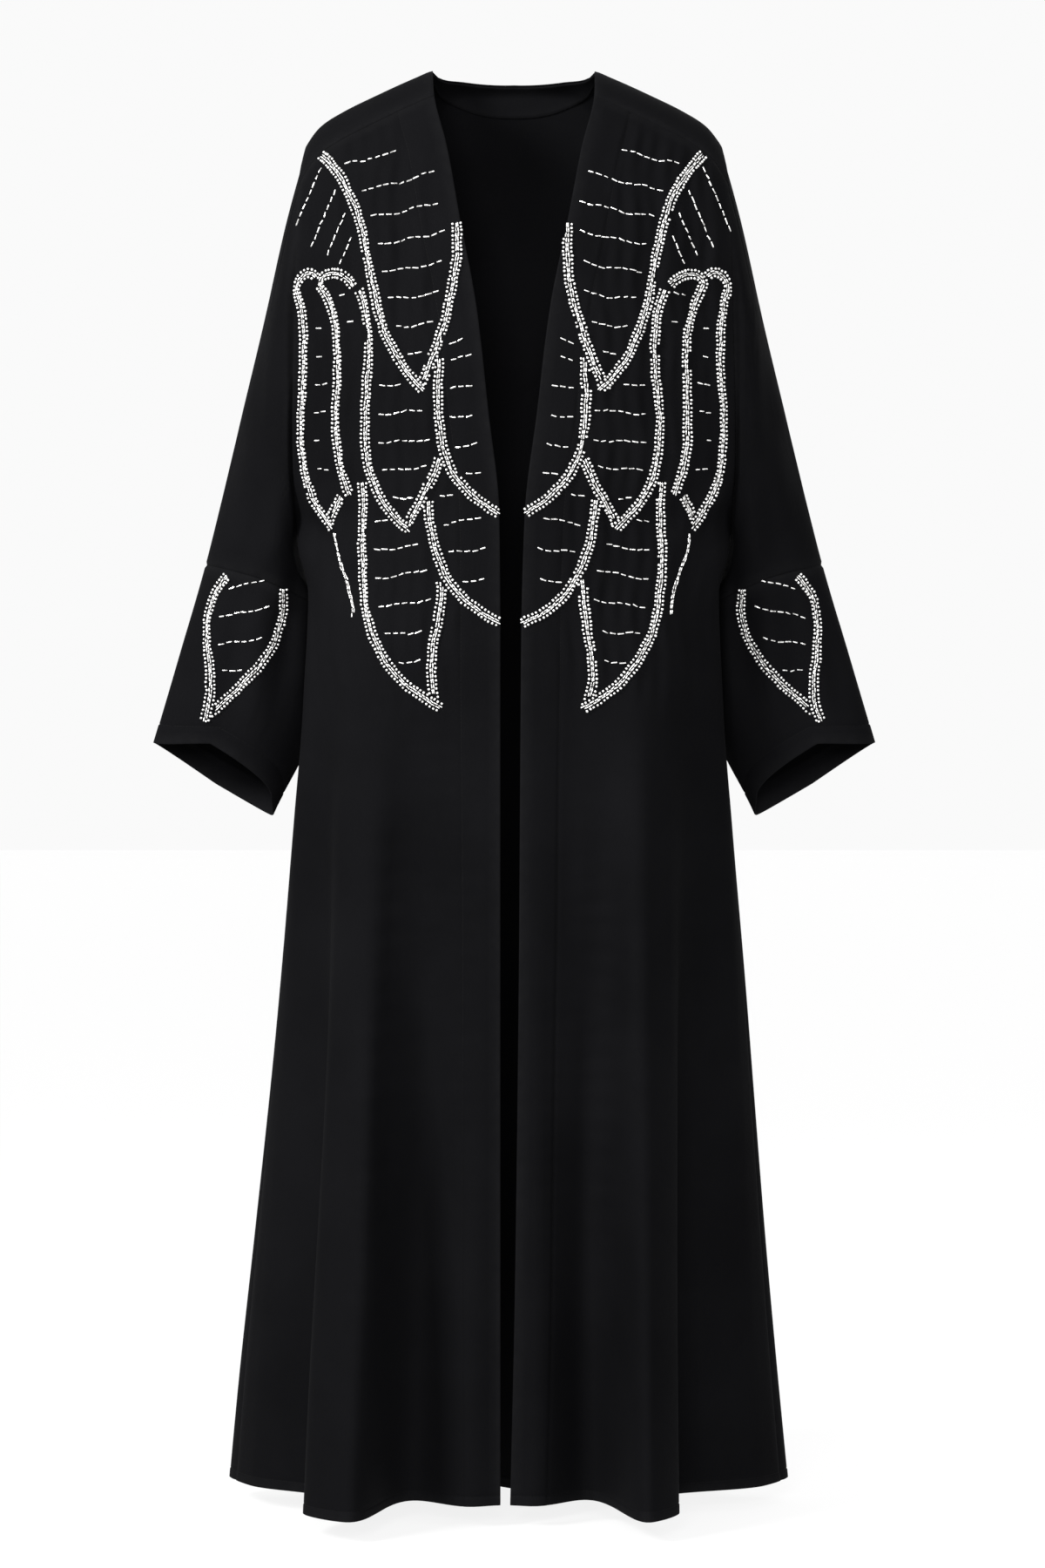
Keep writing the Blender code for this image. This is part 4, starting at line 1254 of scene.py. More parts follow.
@dataclass
class BackPanel:
    """The back in one piece, which runs over the shoulders to the forward seams."""

    garment: Garment
    columns: int = 62
    neck_columns: int = 17
    unevenness: float = 0.0014
    flat: tuple[float, float] = (0.92, 1.57)
    area: float = 0.95

    def build(self) -> None:
        """Makes the panel's points with its creases and hem."""
        form = self.garment.form
        neck = form.neck_share()
        outside = neck + (1 - neck) * np.linspace(0.0, 1.0, self.columns)
        shares = np.concatenate([np.linspace(0.0, neck, self.neck_columns)[:-1], outside])
        halves = {side: form.rows(side, Face.BACK, shares) for side in Side}
        grid = np.concatenate([halves[Side.RIGHT][:, :0:-1], halves[Side.LEFT]], axis=1)
        self.neck_first = self.columns - 1
        self.neck_last = grid.shape[1] - self.columns
        self.over = len(grid) - 2 - form.over_rows
        axis = grid.mean(axis=(0, 1)) * UPRIGHT - BEHIND
        normals = normals_of(grid, axis)
        rise = waviness(grid, self.unevenness, 11)
        for side in Side:
            places = np.stack([side.value * grid[..., 0], grid[..., 2]], axis=-1)
            behind = (grid[..., 1] > 0) & (places[..., 0] > -0.03)
            rise += np.where(behind, relief(places, BACK_CREASES[side]), 0.0)
        right, left = (np.linalg.norm(grid - grid[:, k], axis=-1) for k in (slice(0, 1), slice(-1, None)))
        top = np.linalg.norm(grid - grid[-1:], axis=-1)
        rise *= ease(np.minimum(right, left), 0.0, form.seam_fade) * ease(top, 0.0, form.seam_fade)
        rise[: self.over + 1, self.neck_first : self.neck_last + 1] *= 0.5
        rise += form.hem_rise(grid[..., 2] - grid[0, :, 2])
        rise[form.hem_row] -= form.stitch_groove
        rise[:, 0] -= form.seam_dip
        rise[:, -1] -= form.seam_dip
        rise[-1] -= form.seam_dip
        self.points = grid + normals * rise[..., None]
        self.normals = normals_of(self.points, axis)

    def dress(self) -> bpy.types.Object:
        """Makes the cloth in place of its solid."""
        keep = np.ones((self.points.shape[0] - 1, self.points.shape[1] - 1), bool)
        keep[self.over :, self.neck_first : self.neck_last] = False
        sheet = Sheet("back_panel", self.points, self.normals, keep=keep)
        return self.garment.lay(sheet, "back", self.flat, self.area)


@dataclass
class NeckFacing:
    """The facing sewn inside the back neck."""

    back: BackPanel
    depth: float = 0.036
    inset: float = 0.0010
    gap: float = 0.0016
    wall: float = 0.0009
    rows: int = 10
    flat: tuple[float, float] = (0.20, 0.045)
    area: float = 0.0075

    def dress(self) -> bpy.types.Object:
        """Makes the facing on the inside of the back, in place of its solid."""
        back = self.back
        columns = []
        for j in range(back.neck_first, back.neck_last + 1):
            line = (back.points[: back.over + 1, j] - back.normals[: back.over + 1, j] * self.gap)[::-1]
            at = np.linspace(self.inset, self.depth, self.rows)
            columns.append(read_at(at, run_along(line), line))
        grid = np.stack(columns, axis=1)
        normals = normals_of(grid, grid.mean(axis=(0, 1)) - BEHIND)
        sheet = Sheet("neck_facing", grid, normals, wall=self.wall)
        # The facing takes the lighter copy of the crepe, painted light for the shaded inside of the neck.
        facing = back.garment.finishes.facing
        return back.garment.lay(sheet, "back_neck_facing", self.flat, self.area, facing, Slot.FACING)


@dataclass
class Sleeve:
    """A set-in sleeve and its flared end, cut as two pieces that meet in a seam below the elbow."""

    garment: Garment
    front: FrontPanel
    back: BackPanel
    upper_rings: int = 54
    end_rings: int = 18
    armhole_fade: float = 2.5
    lift_power: float = 0.4
    unevenness: float = 0.0012
    cuff_stitch: float = 0.21
    sleeve_flat: tuple[float, float] = (0.54, 0.46)
    sleeve_area: float = 0.108
    end_flat: tuple[float, float] = (0.42, 0.25)
    end_area: float = 0.086

    @property
    def side(self) -> Side:
        """The wearer's side."""
        return self.front.side

    def loop(self) -> np.ndarray:
        """The armhole's points from the forward seam down the front, round the underarm and up the back."""
        first = self.garment.form.below_arm
        column = 0 if self.side is Side.RIGHT else -1
        down_front = self.front.points[first:, -1][::-1]
        up_back = self.back.points[first + 1 :, column]
        return np.concatenate([down_front, up_back[:-1]])

    def angles(self, loop: np.ndarray) -> np.ndarray:
        """Where each point of the loop lies round it: 0 at the shoulder, a half turn at the underarm."""
        top, bottom = loop[:, 2].max(), self.garment.form.underarm
        height = np.clip((loop[:, 2] - bottom) / (top - bottom), 0.0, 1.0)
        angle = np.arccos(np.clip(2 * height - 1, -1.0, 1.0))
        return np.where(loop[:, 1] < 0, angle, math.tau - angle)

    def ring(self, at: float, turn: np.ndarray) -> np.ndarray:
        """One ring of the sleeve.

        Args:
            at: Its place among the sleeve's sections.
            turn: Where its points lie round it.

        Returns:
            The ring's points.
        """
        sections = np.arange(len(SLEEVE), dtype=float)
        columns = {name: np.array([getattr(cuff, name) for cuff in SLEEVE]) for name in Cuff._fields}
        row = {name: float(Curve(sections, values).at(at)) for name, values in columns.items()}
        outer = np.array([row["outer_x"], row["outer_z"]])
        inner = np.array([row["inner_x"], row["inner_z"]])
        middle, arm = (outer + inner) / 2, (outer - inner) / 2
        front = np.sin(turn) > 0
        depth = np.where(front, row["front"], row["back"]) * -np.sin(turn)
        rise = np.clip(1 - np.cos(turn), 0.0, 1.0) * np.abs(np.sin(turn)) ** self.lift_power
        lift = np.where(front, row["front_lift"], row["back_lift"]) * rise
        x = middle[0] + arm[0] * np.cos(turn)
        z = middle[1] + arm[1] * np.cos(turn) + lift
        return np.stack([self.side.value * x, depth + row["y"], z], axis=-1)

    def build(self) -> None:
        """Makes the rings of both pieces with their creases, seam and cuff stitching."""
        form = self.garment.form
        loop = self.loop()
        turn = self.angles(loop)
        last = float(len(SLEEVE) - 1)
        stitch = last - self.cuff_stitch
        even = np.linspace(0.10, SLEEVE_SEAM_AT - 0.03, self.upper_rings)
        upper = np.concatenate([[0.0, 0.03], even, [SLEEVE_SEAM_AT]])
        lower = np.concatenate(
            [
                [SLEEVE_SEAM_AT + 0.03],
                np.linspace(SLEEVE_SEAM_AT + 0.12, stitch - 0.08, self.end_rings),
                [stitch - 0.014, stitch, stitch + 0.014, stitch + 0.07, stitch + 0.14, last - 0.02, last],
            ]
        )
        places = np.concatenate([upper, lower])
        start = loop - self.ring(0.0, turn)
        fades = 1 - ease(places, 0.0, self.armhole_fade)
        grid = np.array([self.ring(at, turn) + start * fade for at, fade in zip(places, fades)])
        middle = grid.mean(axis=1, keepdims=True)
        normals = normals_of(grid, middle, closed=True)
        flat = np.stack([self.side.value * grid[..., 0], grid[..., 2]], axis=-1)
        in_front = grid[..., 1] < middle[..., 1]
        rise = np.where(in_front, *(relief(flat, SLEEVE_CREASES[face]) for face in Face))
        depth = np.abs(grid[..., 1] - middle[..., 1])
        rise *= ease(depth, 0.0, 0.02)
        rise += waviness(grid, self.unevenness, 23 + self.side.value)
        rise *= ease(places, 0.0, 0.5)[:, None]
        self.seam = len(upper) - 1
        rise[self.seam] -= form.seam_dip
        self.stitched = int(np.argmin(np.abs(places - stitch)))
        rise[self.stitched] -= form.stitch_groove
        rise[self.stitched + 1 :] += form.hem_lift
        self.points = grid + normals * rise[..., None]
        self.normals = normals_of(self.points, middle, closed=True)
        self.tree = surface_tree(self.points[self.seam :], closed=True)

    def dress(self) -> tuple[bpy.types.Object, bpy.types.Object]:
        """Makes the two pieces in place of their solids."""
        word = self.side.word
        upper, lower = slice(0, self.seam + 1), slice(self.seam, None)
        made = []
        for name, node, rows, flat, area in (
            ("sleeve_upper_", "sleeve_", upper, self.sleeve_flat, self.sleeve_area),
            ("sleeve_flare_", "sleeve_end_", lower, self.end_flat, self.end_area),
        ):
            sheet = Sheet(name + word, self.points[rows], self.normals[rows], closed=True)
            made.append(self.garment.lay(sheet, node + word, flat, area))
        return made[0], made[1]


class BeadKind(Enum):
    """The kinds of small solids that are sewn on."""

    SEED = "seed"
    BUGLE = "bugle"
    STITCH = "stitch"


@dataclass(frozen=True)
class BeadShape:
    """A small turned solid: rings of a given radius along its length, both as shares."""

    sides: int
    rings: tuple[tuple[float, float], ...]

    def mesh(self) -> tuple[np.ndarray, list[tuple[int, ...]]]:
        """Its vertices, along x, and its faces."""
        points: list[tuple[float, float, float]] = []
        for along, radius in self.rings:
            for k in range(self.sides):
                turn = math.tau * (k + 0.5) / self.sides
                points.append((along, radius * math.cos(turn), radius * math.sin(turn)))
        faces: list[tuple[int, ...]] = []
        for i in range(len(self.rings) - 1):
            for k in range(self.sides):
                k2 = (k + 1) % self.sides
                low, high = i * self.sides, (i + 1) * self.sides
                faces.append((low + k, high + k, high + k2, low + k2))
        faces.append(tuple(range(self.sides)))
        faces.append(tuple(reversed(range(len(points) - self.sides, len(points)))))
        return np.array(points), faces


SHAPES = {
    BeadKind.SEED: BeadShape(6, ((-0.38, 0.26), (-0.24, 0.46), (0.24, 0.46), (0.38, 0.26))),
    BeadKind.BUGLE: BeadShape(5, ((-0.5, 0.34), (-0.45, 0.5), (0.45, 0.5), (0.5, 0.34))),
    BeadKind.STITCH: BeadShape(4, ((-0.5, 0.18), (-0.3, 0.5), (0.3, 0.5), (0.5, 0.18))),
}


STITCH_FLATNESS = 0.6


@dataclass
class Tray:
    """Small solids to be sewn on one piece: their places, directions, normals and sizes."""

    places: list[np.ndarray] = field(default_factory=list)
    ahead: list[np.ndarray] = field(default_factory=list)
    normals: list[np.ndarray] = field(default_factory=list)
    sizes: list[tuple[float, float]] = field(default_factory=list)
    kinds: list[BeadKind] = field(default_factory=list)

    def put(
        self, kind: BeadKind, place: np.ndarray, ahead: np.ndarray, normal: np.ndarray, length: float,
        width: float,
    ) -> None:
        """Adds one solid."""
        self.kinds.append(kind)
        self.places.append(place)
        self.ahead.append(ahead)
        self.normals.append(normal)
        self.sizes.append((length, width))

    def build(self, name: str, finish: bpy.types.Material) -> bpy.types.Object:
        """Makes one object of all the solids.

        Args:
            name: The piece's name.
            finish: Its material.

        Returns:
            The object.
        """
        points, faces, count = [], [], 0
        for kind, shape in SHAPES.items():
            chosen = [i for i, k in enumerate(self.kinds) if k is kind]
            if not chosen:
                continue
            template, corners = shape.mesh()
            place = np.array([self.places[i] for i in chosen])
            along = unit(np.array([self.ahead[i] for i in chosen]))
            up = np.array([self.normals[i] for i in chosen])
            up = unit(up - along * (up * along).sum(axis=-1, keepdims=True))
            across = np.cross(up, along)
            size = np.array([self.sizes[i] for i in chosen])
            local = template[None] * np.stack([size[:, 0], size[:, 1], size[:, 1]], axis=-1)[:, None]
            if kind is BeadKind.STITCH:
                local[..., 2] *= STITCH_FLATNESS
            solid = place[:, None] + local[..., :1] * along[:, None] + local[..., 1:2] * across[:, None]
            solid += local[..., 2:] * up[:, None]
            points.append(solid.reshape(-1, 3))
            for i in range(len(chosen)):
                base = count + i * len(template)
                faces += [tuple(base + k for k in face) for face in corners]
            count += len(chosen) * len(template)
        return piece(name, np.concatenate(points), faces, finish, 60.0)


class Spacing:
    """Keeps beads from being sewn into each other."""

    def __init__(self, cell: float = 0.003) -> None:
        """Starts with no beads."""
        self.cell = cell
        self.marks: dict[tuple[int, int, int], list[np.ndarray]] = {}

    def key(self, place: np.ndarray) -> tuple[int, int, int]:
        """The cell that a place lies in."""
        a, b, c = np.floor(place / self.cell)
        return int(a), int(b), int(c)

    def free(self, place: np.ndarray, distance: float) -> bool:
        """Whether no mark lies nearer than a distance."""
        a, b, c = self.key(place)
        for i in (a - 1, a, a + 1):
            for j in (b - 1, b, b + 1):
                for k in (c - 1, c, c + 1):
                    for mark in self.marks.get((i, j, k), ()):
                        if np.dot(place - mark, place - mark) < distance * distance:
                            return False
        return True

    def mark(self, place: np.ndarray) -> None:
        """Takes a place."""
        self.marks.setdefault(self.key(place), []).append(place)


def bowed(start: Sequence[float], end: Sequence[float], upper: float, lower: float) -> np.ndarray:
    """A line that bows aside.

    Args:
        start: Its first point.
        end: Its last point.
        upper: The bow at one third.
        lower: The bow at two thirds.

    Returns:
        The points.
    """
    first, last = np.array(start), np.array(end)
    chord = last - first
    aside = np.array((-chord[1], chord[0])) / np.linalg.norm(chord)
    t = np.linspace(0.0, 1.0, BOW_POINTS)
    bow = THIRDS_SCALE * t * (1 - t) * (upper * (2 / 3 - t) + lower * (t - 1 / 3))
    return first + chord * t[:, None] + aside * bow[:, None]


def arch(start: Sequence[float], end: Sequence[float]) -> np.ndarray:
    """Points of an arch from start over to end."""
    first, last = np.array(start), np.array(end)
    turn = np.linspace(0.0, math.pi, ARCH_POINTS)
    level = first + (last - first) * (1 - np.cos(turn))[:, None] / 2
    return level + np.array((0.0, ARCH_RISE)) * np.sin(turn)[:, None]


def reach_of(leaf: Leaf, z: float) -> Optional[tuple[float, float]]:
    """How far a leaf reaches at a height.

    Args:
        leaf: The leaf.
        z: The height.

    Returns:
        The distances of its inner edge, or else the front's edge, and of its outer edge, or None beside it.
    """
    if not leaf.tip_z < z < leaf.z:
        return None
    tip = (leaf.tip_x, leaf.tip_z)
    outer = bowed((leaf.x, leaf.z), tip, leaf.upper, leaf.lower)
    far = float(np.interp(-z, -outer[:, 1], outer[:, 0]))
    if leaf.inner_x is None or z > leaf.inner_z:
        near = np.interp(-z, [-edge.z for edge in OPENING], [edge.right for edge in OPENING])
        return float(near), far
    inner = bowed((leaf.inner_x, leaf.inner_z), tip, leaf.inner_upper, leaf.inner_lower)
    return float(np.interp(-z, -inner[:, 1], inner[:, 0])), far


@dataclass
class Beading:
    """The beadwork of one panel: leaves edged with rows of beads, and lines of small beads on them."""

    garment: Garment
    side: Side
    tree: BVHTree
    leaves: Sequence[Leaf]
    seed: int
    seed_size: float = 0.0027
    seed_pitch: float = 0.0040
    seed_row: float = 0.0040
    bugle_length: float = 0.0042
    bugle_width: float = 0.0013
    bugle_pitch: float = 0.0050
    bugle_row: float = 0.0010
    dash_length: float = 0.0056
    dash_width: float = 0.0013
    dash_pitch: float = 0.0080
    layer_gap: float = 0.0062
    layer_step: float = 0.001
    fine_step: float = 0.0006
    off_cloth: float = 0.0008
    tip_reach: float = 0.0045
    edge_reach: float = 0.0090
    bugle_room: float = 0.0022
    dash_room: float = 0.0021
    uneven_size: float = 0.09
    uneven_turn: float = 0.09
    uneven_place: float = 0.00022
    uneven_length: float = 0.04
    uneven_dash: float = 0.10
    raised: float = 0.47
    wobble: float = 0.00035
    line_first: float = 0.013
    line_pitch: float = 0.027
    line_margin: float = 0.011
    line_least: float = 0.008
    line_rise: float = 0.28
    line_sag: float = 0.045
    line_ripple: float = 0.0011
    ripple_length: float = 0.0065
    ripple_shift: float = 40.0
    ripple_fade: float = 6.0
    fan_count: int = 4
    fan_pitch: float = 0.024
    fan_length: float = 0.082
    fan_shorter: float = 0.017
    fan_ahead: tuple[float, float] = (0.40, -0.92)

    def __post_init__(self) -> None:
        """Starts the spacing and the chance of small irregularities."""
        self.spacing = Spacing()
        self.chance = np.random.default_rng(self.seed)
        self.upper_paths: list[np.ndarray] = []

    def laid(self, path: np.ndarray) -> tuple[np.ndarray, np.ndarray]:
        """A flat path laid on the cloth as seen from the front.

        Args:
            path: Distances from the middle and heights.

        Returns:
            The points on the cloth and the normals there, which leave out what misses the cloth.
        """
        run = run_along(path)
        flat = read_at(np.linspace(0.0, run[-1], max(3, round(run[-1] / self.fine_step))), run, path)
        points, normals = [], []
        for distance, z in flat:
            spot = Vector((LEAF_MIDDLE + self.side.value * distance, -1.0, z))
            place, normal, _, _ = self.tree.ray_cast(spot, Vector((0.0, 1.0, 0.0)))
            if place is None:
                continue
            points.append(tuple(place))
            normals.append(tuple(normal if normal.y < 0 else -normal))
        return np.array(points).reshape(-1, 3), np.array(normals).reshape(-1, 3)

    def smooth(self, values: np.ndarray, reach: int) -> np.ndarray:
        """The values averaged along the path."""
        kernel = np.ones(2 * reach + 1) / (2 * reach + 1)
        padded = np.pad(values, ((reach, reach), (0, 0)), mode="edge")
        return np.stack([np.convolve(column, kernel, "valid") for column in padded.T], axis=-1)

    def spots(
        self, points: np.ndarray, normals: np.ndarray, aside: float, pitch: float, start: float
    ) -> list[tuple[np.ndarray, np.ndarray, np.ndarray]]:
        """Evenly spaced places along a row that runs beside a path.

        Args:
            points: The path on the cloth.
            normals: The cloth's normals along it.
            aside: The row's distance from the path.
            pitch: The spacing.
            start: The distance of the first from the path's start.

        Returns:
            Place, direction and normal of each.
        """
        ahead = unit(np.gradient(self.smooth(points, 3), axis=0))
        row = points + unit(np.cross(self.smooth(normals, 4), ahead)) * aside
        run = run_along(row)
        found = []
        for at in np.arange(start, run[-1], pitch):
            spot = read_at(at, run, row)
            index = min(int(np.searchsorted(run, at)), len(ahead) - 1)
            place, normal, _, _ = self.tree.find_nearest(Vector(spot))
            if place is None or np.linalg.norm(np.array(place) - spot) > self.off_cloth:
                continue
            normal = np.array(normal) * (1.0 if np.dot(normal, normals[index]) > 0 else -1.0)
            found.append((np.array(place), ahead[index], normal))
        return found

    def below(self, path: np.ndarray) -> np.ndarray:
        """The longest stretch of a path that no leaf above it covers."""
        if not self.upper_paths:
            return path
        run = run_along(path)
        fine = read_at(np.linspace(0.0, run[-1], round(run[-1] / self.layer_step)), run, path)
        marks = np.concatenate(self.upper_paths)
        free = np.linalg.norm(fine[:, None] - marks[None], axis=-1).min(axis=1) > self.layer_gap
        return fine[longest(free)]

    def edge(self, tray: Tray, path: np.ndarray, narrow: bool) -> None:
        """Sews the rows of a leaf's edge along a path.

        Args:
            tray: Where the beads go.
            path: Distances from the middle and heights.
            narrow: Whether it takes the two middle rows alone.
        """
        points, normals = self.laid(path)
        if len(points) < 8:
            return
        waiting = []
        for aside in (-self.bugle_row, self.bugle_row):
            for place, ahead, normal in self.spots(points, normals, aside, self.bugle_pitch, 0.0024):
                ends = [place + ahead * k * self.bugle_length for k in (-0.36, 0.0, 0.36)]
                if all(self.spacing.free(p, self.bugle_room) for p in ends):
                    waiting += ends
                    self.sew(tray, BeadKind.BUGLE, place, ahead, normal, self.bugle_length, self.bugle_width)
        for aside in () if narrow else (-self.seed_row, self.seed_row):
            for place, ahead, normal in self.spots(points, normals, aside, self.seed_pitch, 0.0012):
                if self.spacing.free(place, self.bugle_room):
                    waiting.append(place)
                    self.sew(tray, BeadKind.SEED, place, ahead, normal, self.seed_size, self.seed_size)
        for place in waiting:
            self.spacing.mark(place)

    def sew(
        self, tray: Tray, kind: BeadKind, place: np.ndarray, ahead: np.ndarray, normal: np.ndarray,
        length: float, width: float,
    ) -> None:
        """Sews one bead on the cloth, a little out of line and of its own size."""
        size = 1 + self.uneven_size * self.chance.normal()
        turn = ahead + self.uneven_turn * self.chance.normal(size=3)
        off = self.uneven_place * self.chance.normal(size=3)
        centre = place + normal * width * self.raised + off
        length = length * (1 + self.uneven_length * self.chance.normal())
        tray.put(kind, centre, turn, normal, length, width * size)

    def by_hand(self, path: np.ndarray, reach: float) -> np.ndarray:
        """A path as a hand sews it, run on past its end and never quite true.

        Args:
            path: Distances from the middle and heights.
            reach: How far it runs on past its end.

        Returns:
            The path's points.
        """
        last = unit(path[-1] - path[-3])
        longer = np.concatenate([path, path[-1] + last * np.linspace(0.2, 1.0, 5)[:, None] * reach])
        run = run_along(longer)
        phase = self.chance.uniform(0, math.tau, 3)
        sway = np.sin(run / 0.011 + phase[0]) + 0.8 * np.sin(run / 0.0047 + phase[1])
        sway += np.sin(run / 0.026 + phase[2])
        ahead = unit(np.gradient(longer, axis=0))
        aside = np.stack([-ahead[:, 1], ahead[:, 0]], axis=-1)
        return longer + aside * (sway * self.wobble)[:, None]

    def leaf(self, leaf: Leaf) -> bpy.types.Object:
        """Sews one leaf's edges.

        Args:
            leaf: The leaf.

        Returns:
            The object of its beads.
        """
        tray = Tray()
        top, tip = (leaf.x, leaf.z), (leaf.tip_x, leaf.tip_z)
        outer = bowed(top, tip, leaf.upper, leaf.lower)
        if leaf.arch_x is not None:
            outer = np.concatenate([arch((leaf.arch_x, leaf.arch_z), top)[:-1], outer])
        ends_on_edge = leaf.name in ("breast", "opening")
        paths = [self.by_hand(outer, self.edge_reach if ends_on_edge else self.tip_reach)]
        if leaf.inner_x is not None:
            inner = bowed((leaf.inner_x, leaf.inner_z), tip, leaf.inner_upper, leaf.inner_lower)
            paths.append(self.by_hand(inner, self.tip_reach))
        for path in paths:
            self.edge(tray, self.below(path), leaf.name == "side")
        self.upper_paths += paths
        name = f"beads_{leaf.name}_{self.side.word}"
        return self.garment.sew_on(tray, "leaf_" + name, name)

    def uncovered(self, order: int, path: np.ndarray) -> np.ndarray:
        """The longest stretch of a line that lies on its own leaf and under no other.

        Args:
            order: Which leaf it belongs to.
            path: Distances from the middle and heights.

        Returns:
            That stretch.
        """
        margin = self.line_margin
        free = []
        for x, z in path:
            own = reach_of(self.leaves[order], z)
            clear = own is not None and own[0] + margin <= x <= own[1] - margin
            for upper in self.leaves[:order]:
                over = reach_of(upper, z)
                clear = clear and (over is None or not over[0] - margin < x < over[1] + margin)
            free.append(clear)
        return path[longest(free)]

    def line_paths(self) -> list[np.ndarray]:
        """Lines at an even pitch across each wide leaf, and a fan beside the shoulder's leaf."""
        paths = []
        t = np.linspace(0.0, 1.0, 60)
        for order, leaf in enumerate(self.leaves):
            if leaf.name == "side":
                continue
            for z in np.arange(leaf.z - self.line_first, leaf.tip_z, -self.line_pitch):
                inner, outer = reach_of(leaf, z)
                wide = outer - inner
                rise = self.line_rise * (z - leaf.tip_z) / (leaf.z - leaf.tip_z)
                heights = z + wide * (rise * t - 4 * self.line_sag * t * (1 - t))
                line = np.stack([outer - wide * t, heights], axis=-1)
                ripple = np.sin(line[:, 0] / self.ripple_length + z * self.ripple_shift)
                fade = np.minimum(1.0, np.minimum(t, 1 - t) * self.ripple_fade)
                line[:, 1] += self.line_ripple * ripple * fade
                paths.append(self.uncovered(order, line))
            if leaf.name == "shoulder":
                for k in range(self.fan_count):
                    z = leaf.z - self.line_first - k * self.fan_pitch
                    start = np.array((reach_of(leaf, z)[1] + self.line_margin, z))
                    length = self.fan_length - k * self.fan_shorter
                    paths.append(start + np.array(self.fan_ahead) * length * t[:, None])
        return paths

    def small_lines(self, name: str) -> bpy.types.Object:
        """Sews the lines of small beads.

        Args:
            name: The piece's name.

        Returns:
            The object of their beads.
        """
        tray = Tray()
        for path in self.line_paths():
            if len(path) < 3 or np.linalg.norm(path[-1] - path[0]) < self.line_least:
                continue
            points, normals = self.laid(path)
            if len(points) < 5:
                continue
            for place, ahead, normal in self.spots(points, normals, 0.0, self.dash_pitch, 0.0034):
                length = self.dash_length * (1 + self.uneven_dash * self.chance.normal())
                marks = [place + ahead * k * length for k in (-0.4, 0.0, 0.4)]
                if all(self.spacing.free(mark, self.dash_room) for mark in marks):
                    self.sew(tray, BeadKind.BUGLE, place, ahead, normal, length, self.dash_width)
        return self.garment.sew_on(tray, name)


@dataclass
class Stitching:
    """Rows of machine stitches along the facing strips, the hem and the cuffs."""

    garment: Garment
    length: float = 0.0026
    pitch: float = 0.0034
    width: float = 0.0006
    raised: float = 0.0001

    def row(self, tray: Tray, points: np.ndarray, normals: np.ndarray) -> None:
        """Sews one row.

        Args:
            tray: Where the stitches go.
            points: The line on the cloth.
            normals: The cloth's normals along it.
        """
        run = run_along(points)
        at = np.arange(self.pitch, run[-1] - self.pitch / 2, self.pitch)
        place = read_at(at, run, points)
        normal = unit(read_at(at, run, normals))
        ahead = unit(np.gradient(place, axis=0))
        for p, a, n in zip(place, ahead, normal):
            tray.put(BeadKind.STITCH, p + n * self.raised, a, n, self.length, self.width)

    def dress(
        self, fronts: Sequence[FrontPanel], back: BackPanel, sleeves: Sequence[Sleeve]
    ) -> bpy.types.Object:
        """Sews all rows as one piece.

        Args:
            fronts: The fronts.
            back: The back.
            sleeves: The sleeves.

        Returns:
            The object of the stitches.
        """
        tray = Tray()
        hem = self.garment.form.hem_row
        for panel in fronts:
            self.row(tray, panel.points[:, panel.strip_column], panel.normals[:, panel.strip_column])
            self.row(tray, panel.points[hem], panel.normals[hem])
        self.row(tray, back.points[hem], back.normals[hem])
        for sleeve in sleeves:
            cuff = sleeve.stitched
            ring, normals = (np.concatenate([a[cuff], a[cuff, :1]]) for a in (sleeve.points, sleeve.normals))
            self.row(tray, ring, normals)
        finishes = self.garment.finishes
        made = tray.build("stitching", finishes.of(finishes.thread))
        return self.garment.note(made)


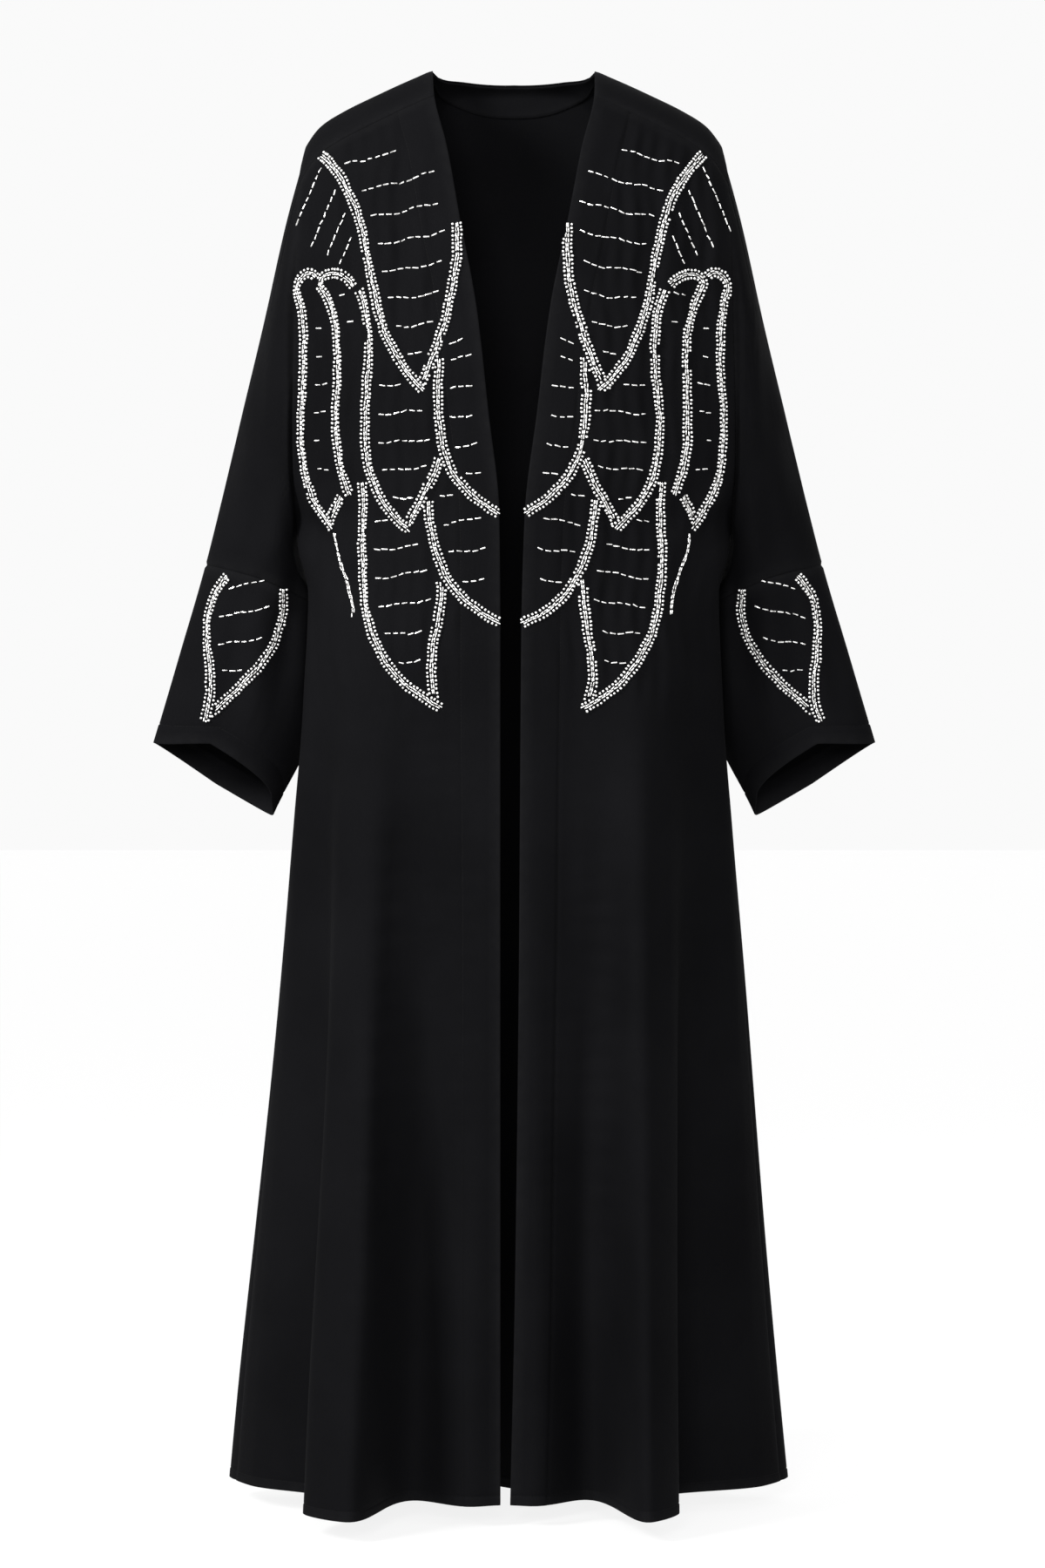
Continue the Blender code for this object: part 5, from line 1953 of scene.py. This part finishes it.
@dataclass
class Studio:
    """A plain pale floor, soft light from all sides, and the camera at the photograph's viewing angle."""

    floor_gap: float = 0.0008
    floor_half: float = 40.0
    camera_place: tuple[float, float, float] = (0.0087, -4.0, -0.711)
    camera_lens: float = 91.95
    sky: float = 0.955

    def floor(self) -> None:
        """Lays the floor just under the hem."""
        low = CAD_BOX[0][2] - self.floor_gap
        half = self.floor_half
        mesh = bpy.data.meshes.new("floor")
        corners = [(-half, -half, low), (half, -half, low), (half, half, low), (-half, half, low)]
        mesh.from_pydata(corners, [], [(0, 1, 2, 3)])
        mesh.materials.append(PaleFloor("Pale_floor").material())
        made = bpy.data.objects.new("floor", mesh)
        bpy.context.scene.collection.objects.link(made)

    def light(
        self, name: str, place: tuple[float, float, float], aim: tuple[float, float, float], size: float,
        power: float,
    ) -> None:
        """Adds a soft square light.

        Args:
            name: Its name.
            place: Where it stands.
            aim: What it points at.
            size: The length of its side.
            power: Its power in watts.
        """
        data = bpy.data.lights.new(name, "AREA")
        data.size = size
        data.energy = power
        made = bpy.data.objects.new(name, data)
        made.location = place
        made.rotation_euler = (Vector(aim) - Vector(place)).to_track_quat("-Z", "Y").to_euler()
        bpy.context.scene.collection.objects.link(made)

    def lights(self) -> None:
        """Sets the even light of the room and the soft lights in it."""
        world = bpy.data.worlds.new("studio_air")
        world.use_nodes = True
        world.node_tree.nodes["Background"].inputs["Color"].default_value = (1.0, 1.0, 1.0, 1.0)
        world.node_tree.nodes["Background"].inputs["Strength"].default_value = self.sky
        bpy.context.scene.world = world
        self.light("front", (-0.3, -4.2, 0.3), (0.0, 0.0, -0.6), 1.2, 190.0)
        self.light("key", (-2.6, -2.2, 1.2), (0.0, 0.0, -0.6), 1.0, 270.0)
        self.light("fill", (2.6, -2.2, 0.4), (0.0, 0.0, -0.7), 1.8, 22.0)
        self.light("behind", (1.2, 2.6, 1.6), (0.0, 0.0, -0.5), 1.4, 12.0)

    def camera(self) -> None:
        """Sets the camera level with the middle of the garment."""
        data = bpy.data.cameras.new("photo_camera")
        data.sensor_fit = "AUTO"
        data.sensor_width = 36.0
        data.lens = self.camera_lens
        data.clip_start, data.clip_end = 0.05, 120.0
        made = bpy.data.objects.new("photo_camera", data)
        made.location = self.camera_place
        made.rotation_euler = (QUARTER, 0.0, 0.0)
        bpy.context.scene.collection.objects.link(made)
        bpy.context.scene.camera = made

    def build(self) -> None:
        """Sets up the whole studio."""
        self.floor()
        self.lights()
        self.camera()
        bpy.context.scene.view_settings.view_transform = "Standard"


def main() -> None:
    """Builds the robe piece by piece."""
    logging.basicConfig(level=logging.INFO, format="%(name)s: %(message)s")
    garment = Garment()
    fronts = [FrontPanel(garment, side) for side in Side]
    for panel in fronts:
        panel.build()
        panel.dress()
    back = BackPanel(garment)
    back.build()
    back.dress()
    NeckFacing(back).dress()
    sleeves = [Sleeve(garment, front, back) for front in fronts]
    for sleeve in sleeves:
        sleeve.build()
        sleeve.dress()
    for panel, sleeve in zip(fronts, sleeves):
        side = panel.side
        beading = Beading(garment, side, panel.tree, LEAVES, FRONT_SEED + side.value)
        for leaf in LEAVES:
            beading.leaf(leaf)
        beading.small_lines("line_beads_" + side.word)
        cuff = Beading(garment, side, sleeve.tree, (CUFF_LEAF,), CUFF_SEED + side.value)
        cuff.leaf(CUFF_LEAF)
        cuff.small_lines("cuff_line_beads_" + side.word)
    Stitching(garment).dress(fronts, back, sleeves)
    Studio().build()
    LOG.info("in all %d triangles", garment.triangles)


if __name__ == "__main__":
    main()
